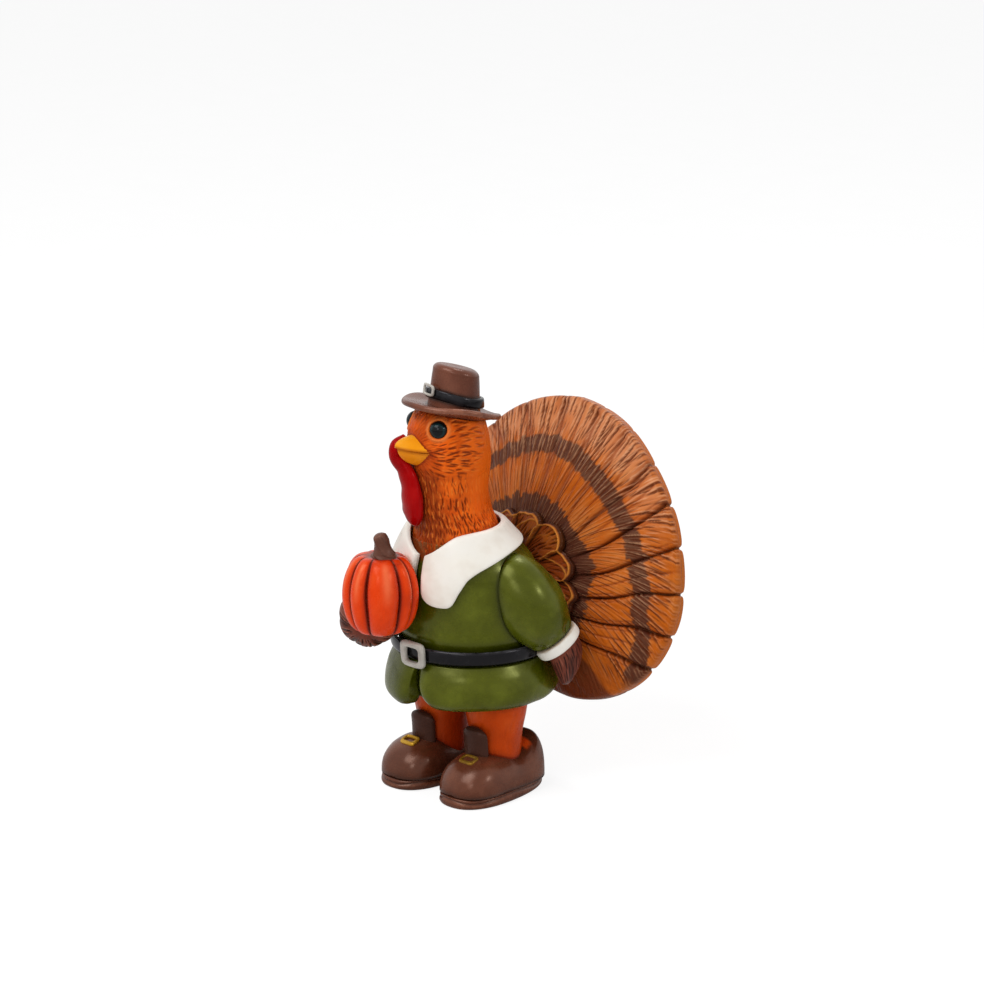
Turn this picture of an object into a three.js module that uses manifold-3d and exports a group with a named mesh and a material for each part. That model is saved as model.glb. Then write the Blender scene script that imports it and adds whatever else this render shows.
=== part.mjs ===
// Turkey figure in settler dress: a small painted resin table ornament. Millimetres, +Z up.
// It faces -Y and its own left side is +X. Every casting is glued to the next with a thin gap.

import * as THREE from "three";
import { mergeVertices } from "three/addons/utils/BufferGeometryUtils.js";
import Module from "manifold-3d";

const { Vector2, Vector3 } = THREE;
const radians = THREE.MathUtils.degToRad;
const wasm = await Module();
wasm.setup();

// Fit between two castings, and how far a spigot enters its socket
const GLUE_GAP = 0.3;
const SPIGOT_DEPTH = 3.5;

// Belt and its buckle
const BELT_Z = 25;
const BELT_HEIGHT = 2.4;
const BELT_THICKNESS = 1;
const BELT_BUCKLE_WIDTH = 4.8;
const BELT_BUCKLE_HEIGHT = 4.9;
const BELT_BUCKLE_BAR = 1.1;

// Coat: oval sections from the underside up to where the collar meets the neck
const COAT_BOTTOM = 16.8;
const SHOULDER_Z = 38.5;
const COAT_TOP = SHOULDER_Z + 4.5;
const CHEST_RADIUS = 12;
const COLLAR_RADIUS = 6.6;
const CHEST_Z = BELT_Z + 0.37 * (SHOULDER_Z - BELT_Z);
const BREAST_Z = BELT_Z + 0.74 * (SHOULDER_Z - BELT_Z);
const COAT = [
  { at: COAT_BOTTOM, rx: CHEST_RADIUS - 1.1, ry: CHEST_RADIUS - 1.1, cy: 0 },
  { at: BELT_Z, rx: CHEST_RADIUS, ry: CHEST_RADIUS + 0.1, cy: 0 },
  { at: CHEST_Z, rx: CHEST_RADIUS + 0.2, ry: CHEST_RADIUS, cy: -0.2 },
  { at: BREAST_Z, rx: CHEST_RADIUS, ry: CHEST_RADIUS - 0.6, cy: -0.6 },
  { at: SHOULDER_Z, rx: CHEST_RADIUS - 0.7, ry: CHEST_RADIUS - 1.5, cy: -1.2 },
  { at: SHOULDER_Z + 2.5, rx: COLLAR_RADIUS + 3.1, ry: COLLAR_RADIUS + 2.5, cy: -1.9 },
  { at: COAT_TOP, rx: COLLAR_RADIUS + 1.4, ry: COLLAR_RADIUS + 1.3, cy: -2.8 },
  { at: COAT_TOP + 2, rx: COLLAR_RADIUS, ry: COLLAR_RADIUS + 0.2, cy: -3.4 },
  { at: COAT_TOP + 3.5, rx: COLLAR_RADIUS - 0.6, ry: COLLAR_RADIUS - 0.4, cy: -3.6 },
];

// Skirt of the coat: two flaps that part at the front and meet at the back, the right one longer
const HEM_Z = 16;
const RIGHT_FLAP_DROP = 0.9;
const SKIRT_FLARE = 2.4;
const SKIRT_HEM_FLARE = 1.7;
const SKIRT_WAIST_FLARE = 0.7;
const SKIRT_RADIUS = CHEST_RADIUS + SKIRT_FLARE;
const SKIRT_HEM_RADIUS = CHEST_RADIUS + SKIRT_HEM_FLARE;
const SKIRT_WAIST_RADIUS = CHEST_RADIUS + SKIRT_WAIST_FLARE;
const SKIRT_SLIT_TOP_DEG = 2;
const SKIRT_SLIT_HEM_DEG = 7;
const SKIRT_CORNER = 2.2;
const SKIRT_CORNER_DEG = 14;

// Collar: heights of its neck edge and its outer edge, by angle from the front
const COLLAR_THICKNESS = 1.2;
const COLLAR_ROUNDING = 0.5;
const COLLAR_SLIT_DEG = 4;
const COLLAR_BACK_DEG = 2;
const COLLAR_EDGES = [
  { at: 4, inner: COAT_TOP - 1.8, outer: COAT_TOP - 7.5 },
  { at: 11, inner: COAT_TOP - 1.2, outer: COAT_TOP - 9.1 },
  { at: 23, inner: COAT_TOP, outer: COAT_TOP - 9.6 },
  { at: 34, inner: COAT_TOP + 1, outer: COAT_TOP - 8.4 },
  { at: 43, inner: COAT_TOP + 1.6, outer: COAT_TOP - 5.4 },
  { at: 60, inner: COAT_TOP + 2, outer: COAT_TOP - 3 },
  { at: 90, inner: COAT_TOP + 2.2, outer: COAT_TOP - 1.5 },
  { at: 125, inner: COAT_TOP + 2.3, outer: COAT_TOP - 1 },
  { at: 180, inner: COAT_TOP + 2.4, outer: COAT_TOP - 0.8 },
];

// Head and neck, turned to the figure's right
const NECK_Y = -3.5;
const HEAD_TURN_DEG = 15;
const HEAD_TOP = SHOULDER_Z + 27.5;
const HEAD_RADIUS = 6.5;
const NECK_RADIUS = 5.2;
const HEAD = [
  { at: HEAD_TOP - 25, rx: NECK_RADIUS + 2.2, ry: NECK_RADIUS + 2.2, cy: 0 },
  { at: HEAD_TOP - 22, rx: NECK_RADIUS + 1.2, ry: NECK_RADIUS + 1.5, cy: -0.4 },
  { at: HEAD_TOP - 19, rx: NECK_RADIUS + 0.4, ry: NECK_RADIUS + 0.9, cy: -0.8 },
  { at: HEAD_TOP - 16, rx: NECK_RADIUS, ry: NECK_RADIUS + 0.7, cy: -1.1 },
  { at: HEAD_TOP - 13, rx: HEAD_RADIUS - 1, ry: HEAD_RADIUS - 0.1, cy: -1.2 },
  { at: HEAD_TOP - 10, rx: HEAD_RADIUS - 0.2, ry: HEAD_RADIUS + 0.4, cy: -1.2 },
  { at: HEAD_TOP - 7, rx: HEAD_RADIUS, ry: HEAD_RADIUS + 0.5, cy: -1.5 },
  { at: HEAD_TOP - 4, rx: HEAD_RADIUS - 0.5, ry: HEAD_RADIUS - 0.2, cy: -1.6 },
  { at: HEAD_TOP - 1.5, rx: HEAD_RADIUS - 1.4, ry: HEAD_RADIUS - 1.2, cy: -1.2 },
  { at: HEAD_TOP, rx: HEAD_RADIUS - 3.1, ry: HEAD_RADIUS - 2.9, cy: -0.9 },
];

// Eyes
const EYE_RADIUS = 1.55;
const EYE_Z = HEAD_TOP - 4.3;
const EYE_ANGLE_DEG = 45;
const EYE_SUNK = 0.6;

// Beak: a short cone with its mouth line at one height
const MOUTH_Z = HEAD_TOP - 7.9;
const BEAK_TIP = 11.3;
const BEAK_ROOT = 5.2;
const BEAK_HALF_WIDTH = 3;
const BEAK_RISE = 2.5;
const BEAK_DROP = 3.2;
const BEAK_LOWER_TIP = 10;
const BEAK_TAPER = 0.97;

// Snood: a fleshy strip over the beak and down its right side, as reach, sideways and height
const SNOOD_PATH = [
  [BEAK_TIP - 2.7, -0.4, MOUTH_Z + 2.8],
  [BEAK_TIP - 1.4, -1.5, MOUTH_Z + 1.5],
  [BEAK_TIP - 1.1, -2.3, MOUTH_Z - 0.7],
  [BEAK_TIP - 1.8, -2, MOUTH_Z - 3.1],
  [BEAK_TIP - 3, -1.3, MOUTH_Z - 6.7],
  [BEAK_TIP - 3.6, -0.8, MOUTH_Z - 9.9],
  [BEAK_TIP - 3.8, -0.6, MOUTH_Z - 12.4],
];
const SNOOD_THICKNESS = [
  { at: 0, r: 0.5 },
  { at: 0.15, r: 1.1 },
  { at: 0.5, r: 1.3 },
  { at: 0.82, r: 1.6 },
  { at: 0.94, r: 1.3 },
  { at: 1, r: 0.5 },
];

// Hat, tilted back on the head
const HAT_Z = HEAD_TOP - 3;
const HAT_Y = -1.2;
const HAT_TILT_DEG = 13;
const BRIM_RADIUS = 8.1;
const BRIM_THICKNESS = 1.1;
const BRIM_CURL = 0.5;
const BRIM_EDGE = 0.4;
const BRIM_FLAT_RADIUS = 4.9;
const CROWN_HEIGHT = 7;
const CROWN_BASE_RADIUS = 4.2;
const CROWN_TOP_RADIUS = 3.5;
const CROWN_ROUNDING = 0.8;
const HAT_SPIGOT_RADIUS = 2;
const BAND_HEIGHT = 1.6;
const BAND_THICKNESS = 0.6;
const HAT_BUCKLE_WIDTH = 3.4;
const HAT_BUCKLE_HEIGHT = 2.6;
const HAT_BUCKLE_BAR = 0.6;

// Arms: sleeve paths from the shoulder to the cuff, then the cuff and the wing hand
const CUFF_WIDTH = 1.9;
const CUFF_RADIUS = 4;
const CUFF_ROUNDING = 0.35;
const SLEEVE_RADIUS = 5.6;
const LEFT_ARM_PATH = [
  [CHEST_RADIUS - 3, -0.8, SHOULDER_Z - 0.3],
  [CHEST_RADIUS - 1.1, -0.3, SHOULDER_Z - 3.3],
  [CHEST_RADIUS + 0.5, 1.5, SHOULDER_Z - 7.5],
  [CHEST_RADIUS + 2.3, 3.8, SHOULDER_Z - 11.3],
];
const SLEEVE = [
  { at: 0, r: SLEEVE_RADIUS - 3 },
  { at: 0.15, r: SLEEVE_RADIUS - 1.1 },
  { at: 0.5, r: SLEEVE_RADIUS },
  { at: 0.8, r: SLEEVE_RADIUS - 0.6 },
  { at: 1, r: SLEEVE_RADIUS - 1.8 },
];
const HAND_LENGTH = 6;
const HAND = [
  { at: 0, r: 3.1, flat: 0.75 },
  { at: 0.4, r: 3.4, flat: 0.6 },
  { at: 0.8, r: 2.6, flat: 0.5 },
  { at: 1, r: 0.8, flat: 0.5 },
];
const RIGHT_SHOULDER = [3 - CHEST_RADIUS, -0.8, SHOULDER_Z - 0.3];
const RIGHT_UPPER_ARM = [-CHEST_RADIUS - 0.2, -3, SHOULDER_Z - 3.5];
const RIGHT_ELBOW = [-CHEST_RADIUS - 1.6, -7, SHOULDER_Z - 6.9];
const PALM_RADIUS = 5;
const PALM_REACH = 4.2;
const PALM_FROM_PUMPKIN = [-3.7, 1.2, -5];

// Pumpkin held against the chest
const PUMPKIN_X = -3.8;
const PUMPKIN_Z = 35.3;
const PUMPKIN_RADIUS = 6.3;
const PUMPKIN_HALF_HEIGHT = 7.1;
const PUMPKIN_SET_IN = 1;
const PUMPKIN_RIBS = 9;
const PUMPKIN_TURN_DEG = -22;
const PUMPKIN_GROOVE = 0.09;
const PUMPKIN_DIMPLE = 1.1;
const STEM_HEIGHT = 4;
const STEM_SUNK = 1.4;
const STEM_ACROSS = 0.9;
const STEM_RADIUS = 1.3;
const STEM_FLARE = 2.2;
const STEM_LEAN = 1.2;

// Legs and shoes, in a frame on the ground under the middle of the shoe
const SHOE_X = 6.6;
const SHOE_Y = -2.2;
const LEG_BACK = 1.6;
const LEG_INSET = 0.7;
const LEG = [
  { at: 0, r: 4.1 },
  { at: 0.5, r: 4.3 },
  { at: 0.8, r: 5 },
  { at: 1, r: 5.4 },
];
const LEG_SPIGOT_RADIUS = 2.5;
const SOLE_THICKNESS = 1.9;
const SOLE_HALF_LENGTH = 10.2;
const SOLE_HALF_WIDTH = 5.5;
const SOLE_SQUARENESS = 2.35;
const SOLE_HEEL_NARROWING = 0.1;
const SOLE_EDGE = 0.45;
const UPPER = [
  { at: -9.7, w: 1.7, h: 1.9 },
  { at: -9.2, w: 3.5, h: 3.9 },
  { at: -7.8, w: 4.9, h: 5.4 },
  { at: -5.6, w: 5.4, h: 5.6 },
  { at: -3.6, w: 5.4, h: 5.2 },
  { at: -1, w: 5.4, h: 4.9 },
  { at: 2.5, w: 5.3, h: 5 },
  { at: 6, w: 4.9, h: 6.1 },
  { at: 8.2, w: 4.1, h: 6.8 },
  { at: 9.4, w: 2.9, h: 6.5 },
  { at: 9.8, w: 1.5, h: 5 },
];
const UPPER_SQUARENESS = 2.6;
const TONGUE_WIDTH = 4.2;
const TONGUE_THICKNESS = 1.1;
const TONGUE_TOP = 12;
const TONGUE_TIP = 0.6;
const TONGUE_HUG = 0.09;
const SHOE_BUCKLE_Y = -5.4;
const SHOE_BUCKLE_WIDTH = 4.4;
const SHOE_BUCKLE_LENGTH = 2.8;
const SHOE_BUCKLE_BAR = 0.6;

// Tail fan: a domed disc that leans back, with its rim radius by angle from level
const FAN_Y = 17.4;
const FAN_Z = 30;
const FAN_LEAN_DEG = 15;
const FAN_RADIUS = 28.6;
const FAN_RIM = [
  { at: -90, r: FAN_RADIUS - 13.2 },
  { at: -72, r: FAN_RADIUS - 10.9 },
  { at: -56, r: FAN_RADIUS - 7.8 },
  { at: -44, r: FAN_RADIUS - 5.5 },
  { at: -26, r: FAN_RADIUS - 2.4 },
  { at: -14, r: FAN_RADIUS - 1 },
  { at: 0, r: FAN_RADIUS },
  { at: 20, r: FAN_RADIUS },
  { at: 50, r: FAN_RADIUS + 0.6 },
  { at: 70, r: FAN_RADIUS + 2 },
  { at: 90, r: FAN_RADIUS + 2.8 },
];
const FAN_DOME = 8;
const FAN_BACK_DOME = 1.5;
const FAN_RIM_THICKNESS = 1.8;
const FAN_FEATHERS = 24;
const FEATHER_CROWN = 0.7;
const FEATHER_SCALLOP = 0.5;
const TAIL_SPIGOT_RADIUS = 3;
const TAIL_SPIGOT_Z = 31;
const COVERT_RADIUS = 13;
const COVERT_THICKNESS = 1.5;
const COVERT_THINNING = 0.5;
const COVERT_CROWN = 0.4;
const COVERT_SCALLOP = 1.4;
const COVERT_FEATHERS = 14;

// Paints: colour, roughness and metalness
const PAINT = {
  hat: [0x6e4232, 0.45, 0],
  black: [0x1b1a1d, 0.4, 0],
  silver: [0xbeb9af, 0.45, 0.4],
  plumage: [0xd75f19, 0.55, 0],
  beak: [0xf5a01e, 0.45, 0],
  snood: [0xa50a0f, 0.3, 0],
  eye: [0x10181a, 0.15, 0],
  collar: [0xf0ece4, 0.5, 0],
  coat: [0x555f19, 0.45, 0],
  wing: [0x6b3a2c, 0.55, 0],
  pumpkin: [0xe14114, 0.4, 0],
  stem: [0x5f3c30, 0.55, 0],
  leg: [0xc84b14, 0.5, 0],
  shoe: [0x5f372a, 0.4, 0],
  gold: [0xc89628, 0.4, 0.4],
  tail: [0xc87323, 0.55, 0],
  covert: [0x8a4a20, 0.55, 0],
};

// Counts that set how finely a curve is divided
const TURN_SIDES = 24;
const BRIM_SIDES = 30;
const PIN_SIDES = 12;
const BALL_SIDES = 12;
const PALM_SIDES = 16;
const LIMB_SIDES = 12;
const LIMB_STEPS = 7;
const COAT_STEPS = 9;
const HEAD_STEPS = 10;
const BEAK_STEPS = 5;
const BUCKLE_SIDES = 20;
const BAR_SIDES = 5;
const BELT_SIDES = 30;
const SKIRT_STEPS = 14;
const COLLAR_STEPS = 18;
const LEG_SIDES = 16;
const LEG_STEPS = 4;
const SOLE_SIDES = 24;
const ARCH_STEPS = 10;
const TONGUE_STEPS = 5;
const RIB_POINTS = 4;
const PUMPKIN_STEPS = 8;
const FEATHER_POINTS = 4;

/** One column of a row table at a place along it: a cubic through the rows, level past the ends. */
function column(rows, at, key) {
  const last = rows.length - 1;
  if (at <= rows[0].at) return rows[0][key];
  if (at >= rows[last].at) return rows[last][key];
  const i = rows.findIndex((row) => row.at > at) - 1;
  const slope = (k) => {
    const before = rows[Math.max(k - 1, 0)];
    const after = rows[Math.min(k + 1, last)];
    return (after[key] - before[key]) / (after.at - before.at);
  };
  const span = rows[i + 1].at - rows[i].at;
  const t = (at - rows[i].at) / span;
  const blend = t * t * (3 - 2 * t);
  const bendIn = t * (1 - t) * (1 - t) * span * slope(i);
  const bendOut = t * t * (t - 1) * span * slope(i + 1);
  return rows[i][key] + (rows[i + 1][key] - rows[i][key]) * blend + bendIn + bendOut;
}

/** A list of count values of make(angle), evenly round a full turn. */
function around(count, make) {
  return Array.from({ length: count }, (_, i) => make((i / count) * 2 * Math.PI));
}

/** A list of count + 1 values of make(share), with the share going from 0 to 1. */
function steps(count, make) {
  return Array.from({ length: count + 1 }, (_, i) => make(i / count));
}

/** Six times the signed volume that a mesh encloses. */
function sixVolumes(geometry) {
  const corners = geometry.index.array;
  const place = geometry.attributes.position;
  let sum = 0;
  for (let i = 0; i < corners.length; i += 3) {
    const [a, b, c] = [0, 1, 2].map((k) => new Vector3().fromBufferAttribute(place, corners[i + k]));
    sum += a.dot(b.cross(c));
  }
  return sum;
}

/** The mesh with only positions, shared corners merged and faces pointing out. */
function closed(geometry) {
  const bare = geometry.clone();
  bare.deleteAttribute("normal");
  bare.deleteAttribute("uv");
  const merged = mergeVertices(bare, 1e-4);
  if (sixVolumes(merged) < 0) merged.index.array.reverse();
  return merged;
}

/** Skin over rings with equally many points. A loop runs into its first ring; else flat ends close it. */
function skin(rings, loop = false) {
  const size = rings[0].length;
  const points = rings.flat();
  const faces = [];
  const bands = loop ? rings.length : rings.length - 1;
  for (let i = 0; i < bands; i += 1) {
    const near = i * size;
    const far = ((i + 1) % rings.length) * size;
    for (let j = 0; j < size; j += 1) {
      const k = (j + 1) % size;
      faces.push(near + j, near + k, far + k, near + j, far + k, far + j);
    }
  }
  if (!loop) {
    const ends = [rings[0], rings[rings.length - 1]];
    ends.forEach((ring, end) => {
      const first = end * (rings.length - 1) * size;
      const middle = points.length;
      points.push(ring.reduce((sum, p) => sum.add(p), new Vector3()).divideScalar(size));
      for (let j = 0; j < size; j += 1) {
        const pair = [first + j, first + ((j + 1) % size)];
        faces.push(middle, pair[1 - end], pair[end]);
      }
    });
  }
  const geometry = new THREE.BufferGeometry().setFromPoints(points);
  geometry.setIndex(faces);
  return closed(geometry);
}

/** Turned body about Z from a profile of radius and height pairs. */
function turned(profile, sides = TURN_SIDES) {
  const points = profile.map(([radius, height]) => new Vector2(radius, height));
  return closed(new THREE.LatheGeometry(points, sides).rotateX(Math.PI / 2));
}

/** Round pin about Z between two heights. */
function pin(radius, from, to) {
  return turned([[0, from], [radius, from], [radius, to], [0, to]], PIN_SIDES);
}

/** Solid body of a mesh, for cutting and joining. */
function solid(geometry) {
  const mesh = closed(geometry);
  const vertProperties = new Float32Array(mesh.attributes.position.array);
  const triVerts = new Uint32Array(mesh.index.array);
  return new wasm.Manifold(new wasm.Mesh({ numProp: 3, vertProperties, triVerts }));
}

/** Mesh of the largest body of a solid: the offcuts are dropped. */
function largest(body) {
  const bodies = body.decompose().sort((a, b) => b.volume() - a.volume());
  const { vertProperties, triVerts } = bodies[0].getMesh();
  const geometry = new THREE.BufferGeometry();
  geometry.setAttribute("position", new THREE.BufferAttribute(vertProperties, 3));
  geometry.setIndex(new THREE.BufferAttribute(triVerts, 1));
  return geometry;
}

/** The mesh with the tools cut away. */
function cut(geometry, ...tools) {
  return largest(tools.reduce((body, tool) => body.subtract(solid(tool)), solid(geometry)));
}

/** One mesh of two that overlap. */
function join(geometry, other) {
  return largest(solid(geometry).add(solid(other)));
}

/** A mesh taken from a group's frame into its parent's, and the other way. */
function outOf(group, geometry) {
  group.updateMatrix();
  return geometry.clone().applyMatrix4(group.matrix);
}
function into(group, geometry) {
  group.updateMatrix();
  return geometry.clone().applyMatrix4(group.matrix.clone().invert());
}

/** Named piece with a paint of its own. */
function piece(name, geometry, paint) {
  const [color, roughness, metalness] = PAINT[paint];
  geometry.computeVertexNormals();
  const mesh = new THREE.Mesh(geometry, new THREE.MeshStandardMaterial({ color, roughness, metalness }));
  mesh.name = name;
  return mesh;
}

/** Body of oval sections stacked along Z, grown all over by a clearance. */
function stack(rows, from, to, count, grow = 0) {
  const rings = steps(count, (share) => {
    const z = from + (to - from) * share;
    const lift = share === 0 ? -grow : share === 1 ? grow : 0;
    return around(TURN_SIDES, (a) => new Vector3(
      (column(rows, z, "rx") + grow) * Math.sin(a),
      column(rows, z, "cy") - (column(rows, z, "ry") + grow) * Math.cos(a),
      z + lift,
    ));
  });
  return skin(rings);
}

/** Point on the coat at an angle from the front and a height, moved out by an offset. */
function onCoat(angle, z, offset) {
  const x = (column(COAT, z, "rx") + offset) * Math.sin(angle);
  const y = column(COAT, z, "cy") - (column(COAT, z, "ry") + offset) * Math.cos(angle);
  return new Vector3(x, y, z);
}

/** Rounded square frame of a round bar, laid on a surface by place(across, up, lift). */
function buckle(width, height, bar, place) {
  const squarish = (v) => Math.sign(v) * Math.sqrt(Math.abs(v));
  const rings = around(BUCKLE_SIDES, (a) => around(BAR_SIDES, (b) => {
    const reach = (bar / 2) * (Math.cos(b) - 1);
    const across = (width / 2 + reach) * squarish(Math.cos(a));
    const up = (height / 2 + reach) * squarish(Math.sin(a));
    return place(across, up, GLUE_GAP + (bar / 2) * (1 + Math.sin(b)));
  }));
  return skin(rings, true);
}

/** Rings of round section along a curve, with radius by share of its length. */
function limb(curve, rows, grow = 0) {
  const rings = steps(LIMB_STEPS, (share) => {
    const along = curve.getTangentAt(share);
    const side = new Vector3(0, 0, 1).cross(along).normalize();
    const up = along.clone().cross(side);
    const middle = curve.getPointAt(share);
    if (share === 0) middle.addScaledVector(along, -grow);
    if (share === 1) middle.addScaledVector(along, grow);
    const r = column(rows, share, "r") + grow;
    return around(LIMB_SIDES, (a) => middle.clone()
      .addScaledVector(side, r * Math.cos(a))
      .addScaledVector(up, r * Math.sin(a)));
  });
  return skin(rings);
}

/** Smooth curve through points given as number triples. */
function route(points) {
  return new THREE.CatmullRomCurve3(points.map((p) => new Vector3(...p)));
}

/** Oval body along a straight axis from a start, with flattening across the given side. */
function blade(start, along, rows, length, side) {
  const across = side.clone().addScaledVector(along, -side.dot(along)).normalize();
  const up = along.clone().cross(across);
  const rings = steps(LIMB_STEPS, (share) => {
    const r = column(rows, share, "r");
    const flat = column(rows, share, "flat");
    const middle = start.clone().addScaledVector(along, share * length);
    return around(LIMB_SIDES, (a) => middle.clone()
      .addScaledVector(up, r * Math.cos(a))
      .addScaledVector(across, flat * r * Math.sin(a)));
  });
  return skin(rings);
}

/** Ball about a centre. */
function ball(centre, radius, sides = BALL_SIDES) {
  const sphere = new THREE.SphereGeometry(radius, sides, sides / 2 + 2).rotateX(Math.PI / 2);
  return closed(sphere.translate(centre.x, centre.y, centre.z));
}

// Groups
const figure = new THREE.Group();
const head = new THREE.Group();
const hat = new THREE.Group();
const tail = new THREE.Group();
head.position.set(0, NECK_Y, 0);
head.rotation.z = -radians(HEAD_TURN_DEG);
hat.position.set(0, HAT_Y, HAT_Z);
hat.rotation.x = -radians(HAT_TILT_DEG);
tail.position.set(0, FAN_Y, FAN_Z);
tail.rotation.x = -radians(FAN_LEAN_DEG);
head.add(hat);
figure.add(head, tail);

// Head, cut flat under the hat, with a spigot up into the crown
const neckBottom = COAT_TOP - SPIGOT_DEPTH;
const neck = (grow) => stack(HEAD, neckBottom, HEAD_TOP, HEAD_STEPS, grow);

/** Point on the head at an angle from the front and a height, moved out by an offset. */
function onHead(angle, z, offset) {
  const x = (column(HEAD, z, "rx") + offset) * Math.sin(angle);
  const y = column(HEAD, z, "cy") - (column(HEAD, z, "ry") + offset) * Math.cos(angle);
  return new Vector3(x, y, z);
}

function eye(side, grow) {
  return ball(onHead(side * radians(EYE_ANGLE_DEG), EYE_Z, -EYE_SUNK), EYE_RADIUS + grow);
}

const crownFloor = BRIM_THICKNESS + GLUE_GAP;
const spigotTop = crownFloor + SPIGOT_DEPTH - GLUE_GAP;
const underHat = outOf(hat, pin(2 * BRIM_RADIUS, -GLUE_GAP, CROWN_HEIGHT));
const hatSpigot = outOf(hat, pin(HAT_SPIGOT_RADIUS, -SPIGOT_DEPTH, spigotTop));
const skull = join(cut(neck(0), underHat), hatSpigot);
head.add(piece("head", cut(skull, eye(1, GLUE_GAP), eye(-1, GLUE_GAP)), "plumage"));
head.add(piece("eye_left", eye(1, 0), "eye"));
head.add(piece("eye_right", eye(-1, 0), "eye"));

// Beak: each half is a row of arches that narrow to the tip, seated on the face
function beakHalf(tip, height, grow) {
  const sign = Math.sign(height);
  const seam = MOUTH_Z + sign * (GLUE_GAP / 2) - sign * grow;
  const rings = steps(BEAK_STEPS, (share) => {
    const reach = BEAK_ROOT + (tip - BEAK_ROOT + grow) * share;
    const taper = Math.sqrt(1 - Math.pow(BEAK_TAPER * share, 2));
    const w = BEAK_HALF_WIDTH * taper + grow;
    const h = Math.abs(height) * taper + grow;
    return steps(ARCH_STEPS, (turn) => new Vector3(
      w * Math.cos(turn * Math.PI),
      -reach,
      seam + sign * h * Math.sin(turn * Math.PI),
    ));
  });
  return skin(rings);
}
const upperBeak = (grow) => beakHalf(BEAK_TIP, BEAK_RISE, grow);
const lowerBeak = (grow) => beakHalf(BEAK_LOWER_TIP, -BEAK_DROP, grow);
head.add(piece("beak_upper", cut(upperBeak(0), neck(GLUE_GAP)), "beak"));
head.add(piece("beak_lower", cut(lowerBeak(0), neck(GLUE_GAP)), "beak"));

const snoodCurve = route(SNOOD_PATH.map(([reach, sideways, height]) => [sideways, -reach, height]));
const snoodTools = [neck(GLUE_GAP), upperBeak(GLUE_GAP), lowerBeak(GLUE_GAP)];
head.add(piece("snood", cut(limb(snoodCurve, SNOOD_THICKNESS), ...snoodTools), "snood"));

// Hat
const crownRadius = (z) => THREE.MathUtils.lerp(
  CROWN_BASE_RADIUS,
  CROWN_TOP_RADIUS,
  (z - crownFloor) / (CROWN_HEIGHT - BRIM_THICKNESS),
);
const crownTop = BRIM_THICKNESS + CROWN_HEIGHT;
const hatHole = HAT_SPIGOT_RADIUS + GLUE_GAP;
hat.add(piece("hat_brim", turned([
  [hatHole, 0],
  [BRIM_FLAT_RADIUS, 0],
  [BRIM_RADIUS - BRIM_EDGE, BRIM_CURL],
  [BRIM_RADIUS, BRIM_CURL + BRIM_THICKNESS / 2],
  [BRIM_RADIUS - BRIM_EDGE, BRIM_CURL + BRIM_THICKNESS],
  [BRIM_FLAT_RADIUS, BRIM_THICKNESS],
  [hatHole, BRIM_THICKNESS],
  [hatHole, 0],
], BRIM_SIDES), "hat"));
hat.add(piece("hat_crown", turned([
  [0, crownFloor + SPIGOT_DEPTH],
  [hatHole, crownFloor + SPIGOT_DEPTH],
  [hatHole, crownFloor],
  [crownRadius(crownFloor), crownFloor],
  [crownRadius(crownTop - CROWN_ROUNDING), crownTop - CROWN_ROUNDING],
  [CROWN_TOP_RADIUS - 0.3 * CROWN_ROUNDING, crownTop - 0.3 * CROWN_ROUNDING],
  [CROWN_TOP_RADIUS - CROWN_ROUNDING, crownTop],
  [0, crownTop],
]), "hat"));
const bandTop = crownFloor + BAND_HEIGHT;
const bandInner = (z) => crownRadius(z) + GLUE_GAP;
const bandOuter = (z) => bandInner(z) + BAND_THICKNESS;
hat.add(piece("hat_band", turned([
  [bandInner(crownFloor), crownFloor],
  [bandOuter(crownFloor), crownFloor],
  [bandOuter(bandTop), bandTop],
  [bandInner(bandTop), bandTop],
  [bandInner(crownFloor), crownFloor],
]), "black"));
const hatBuckleZ = crownFloor + HAT_BUCKLE_HEIGHT / 2;
const onBand = (across, up, lift) => {
  const r = bandOuter(hatBuckleZ + up) + lift;
  const angle = across / bandOuter(crownFloor);
  return new Vector3(r * Math.sin(angle), -r * Math.cos(angle), hatBuckleZ + up);
};
const hatBuckle = buckle(HAT_BUCKLE_WIDTH, HAT_BUCKLE_HEIGHT, HAT_BUCKLE_BAR, onBand);
hat.add(piece("hat_buckle", hatBuckle, "silver"));

// Coat, with sockets for the neck, the legs and the tail
const coat = (grow) => stack(COAT, COAT_BOTTOM, COAT_TOP, COAT_STEPS, grow);
const legX = (side) => -side * LEG_INSET;
const legSocket = (side) => {
  const socket = pin(LEG_SPIGOT_RADIUS + GLUE_GAP, COAT_BOTTOM - SPIGOT_DEPTH, COAT_BOTTOM + SPIGOT_DEPTH);
  return socket.translate(side * SHOE_X + legX(side), SHOE_Y + LEG_BACK, 0);
};
const coatBack = column(COAT, TAIL_SPIGOT_Z, "cy") + column(COAT, TAIL_SPIGOT_Z, "ry");
function tailPin(radius, from, to) {
  return pin(radius, from, to).rotateX(-Math.PI / 2).translate(0, 0, TAIL_SPIGOT_Z);
}
const tailSocket = tailPin(TAIL_SPIGOT_RADIUS + GLUE_GAP, coatBack - SPIGOT_DEPTH, coatBack + SPIGOT_DEPTH);
const sockets = [outOf(head, neck(GLUE_GAP)), legSocket(1), legSocket(-1), tailSocket];
figure.add(piece("coat_body", cut(coat(0), ...sockets), "coat"));

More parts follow.
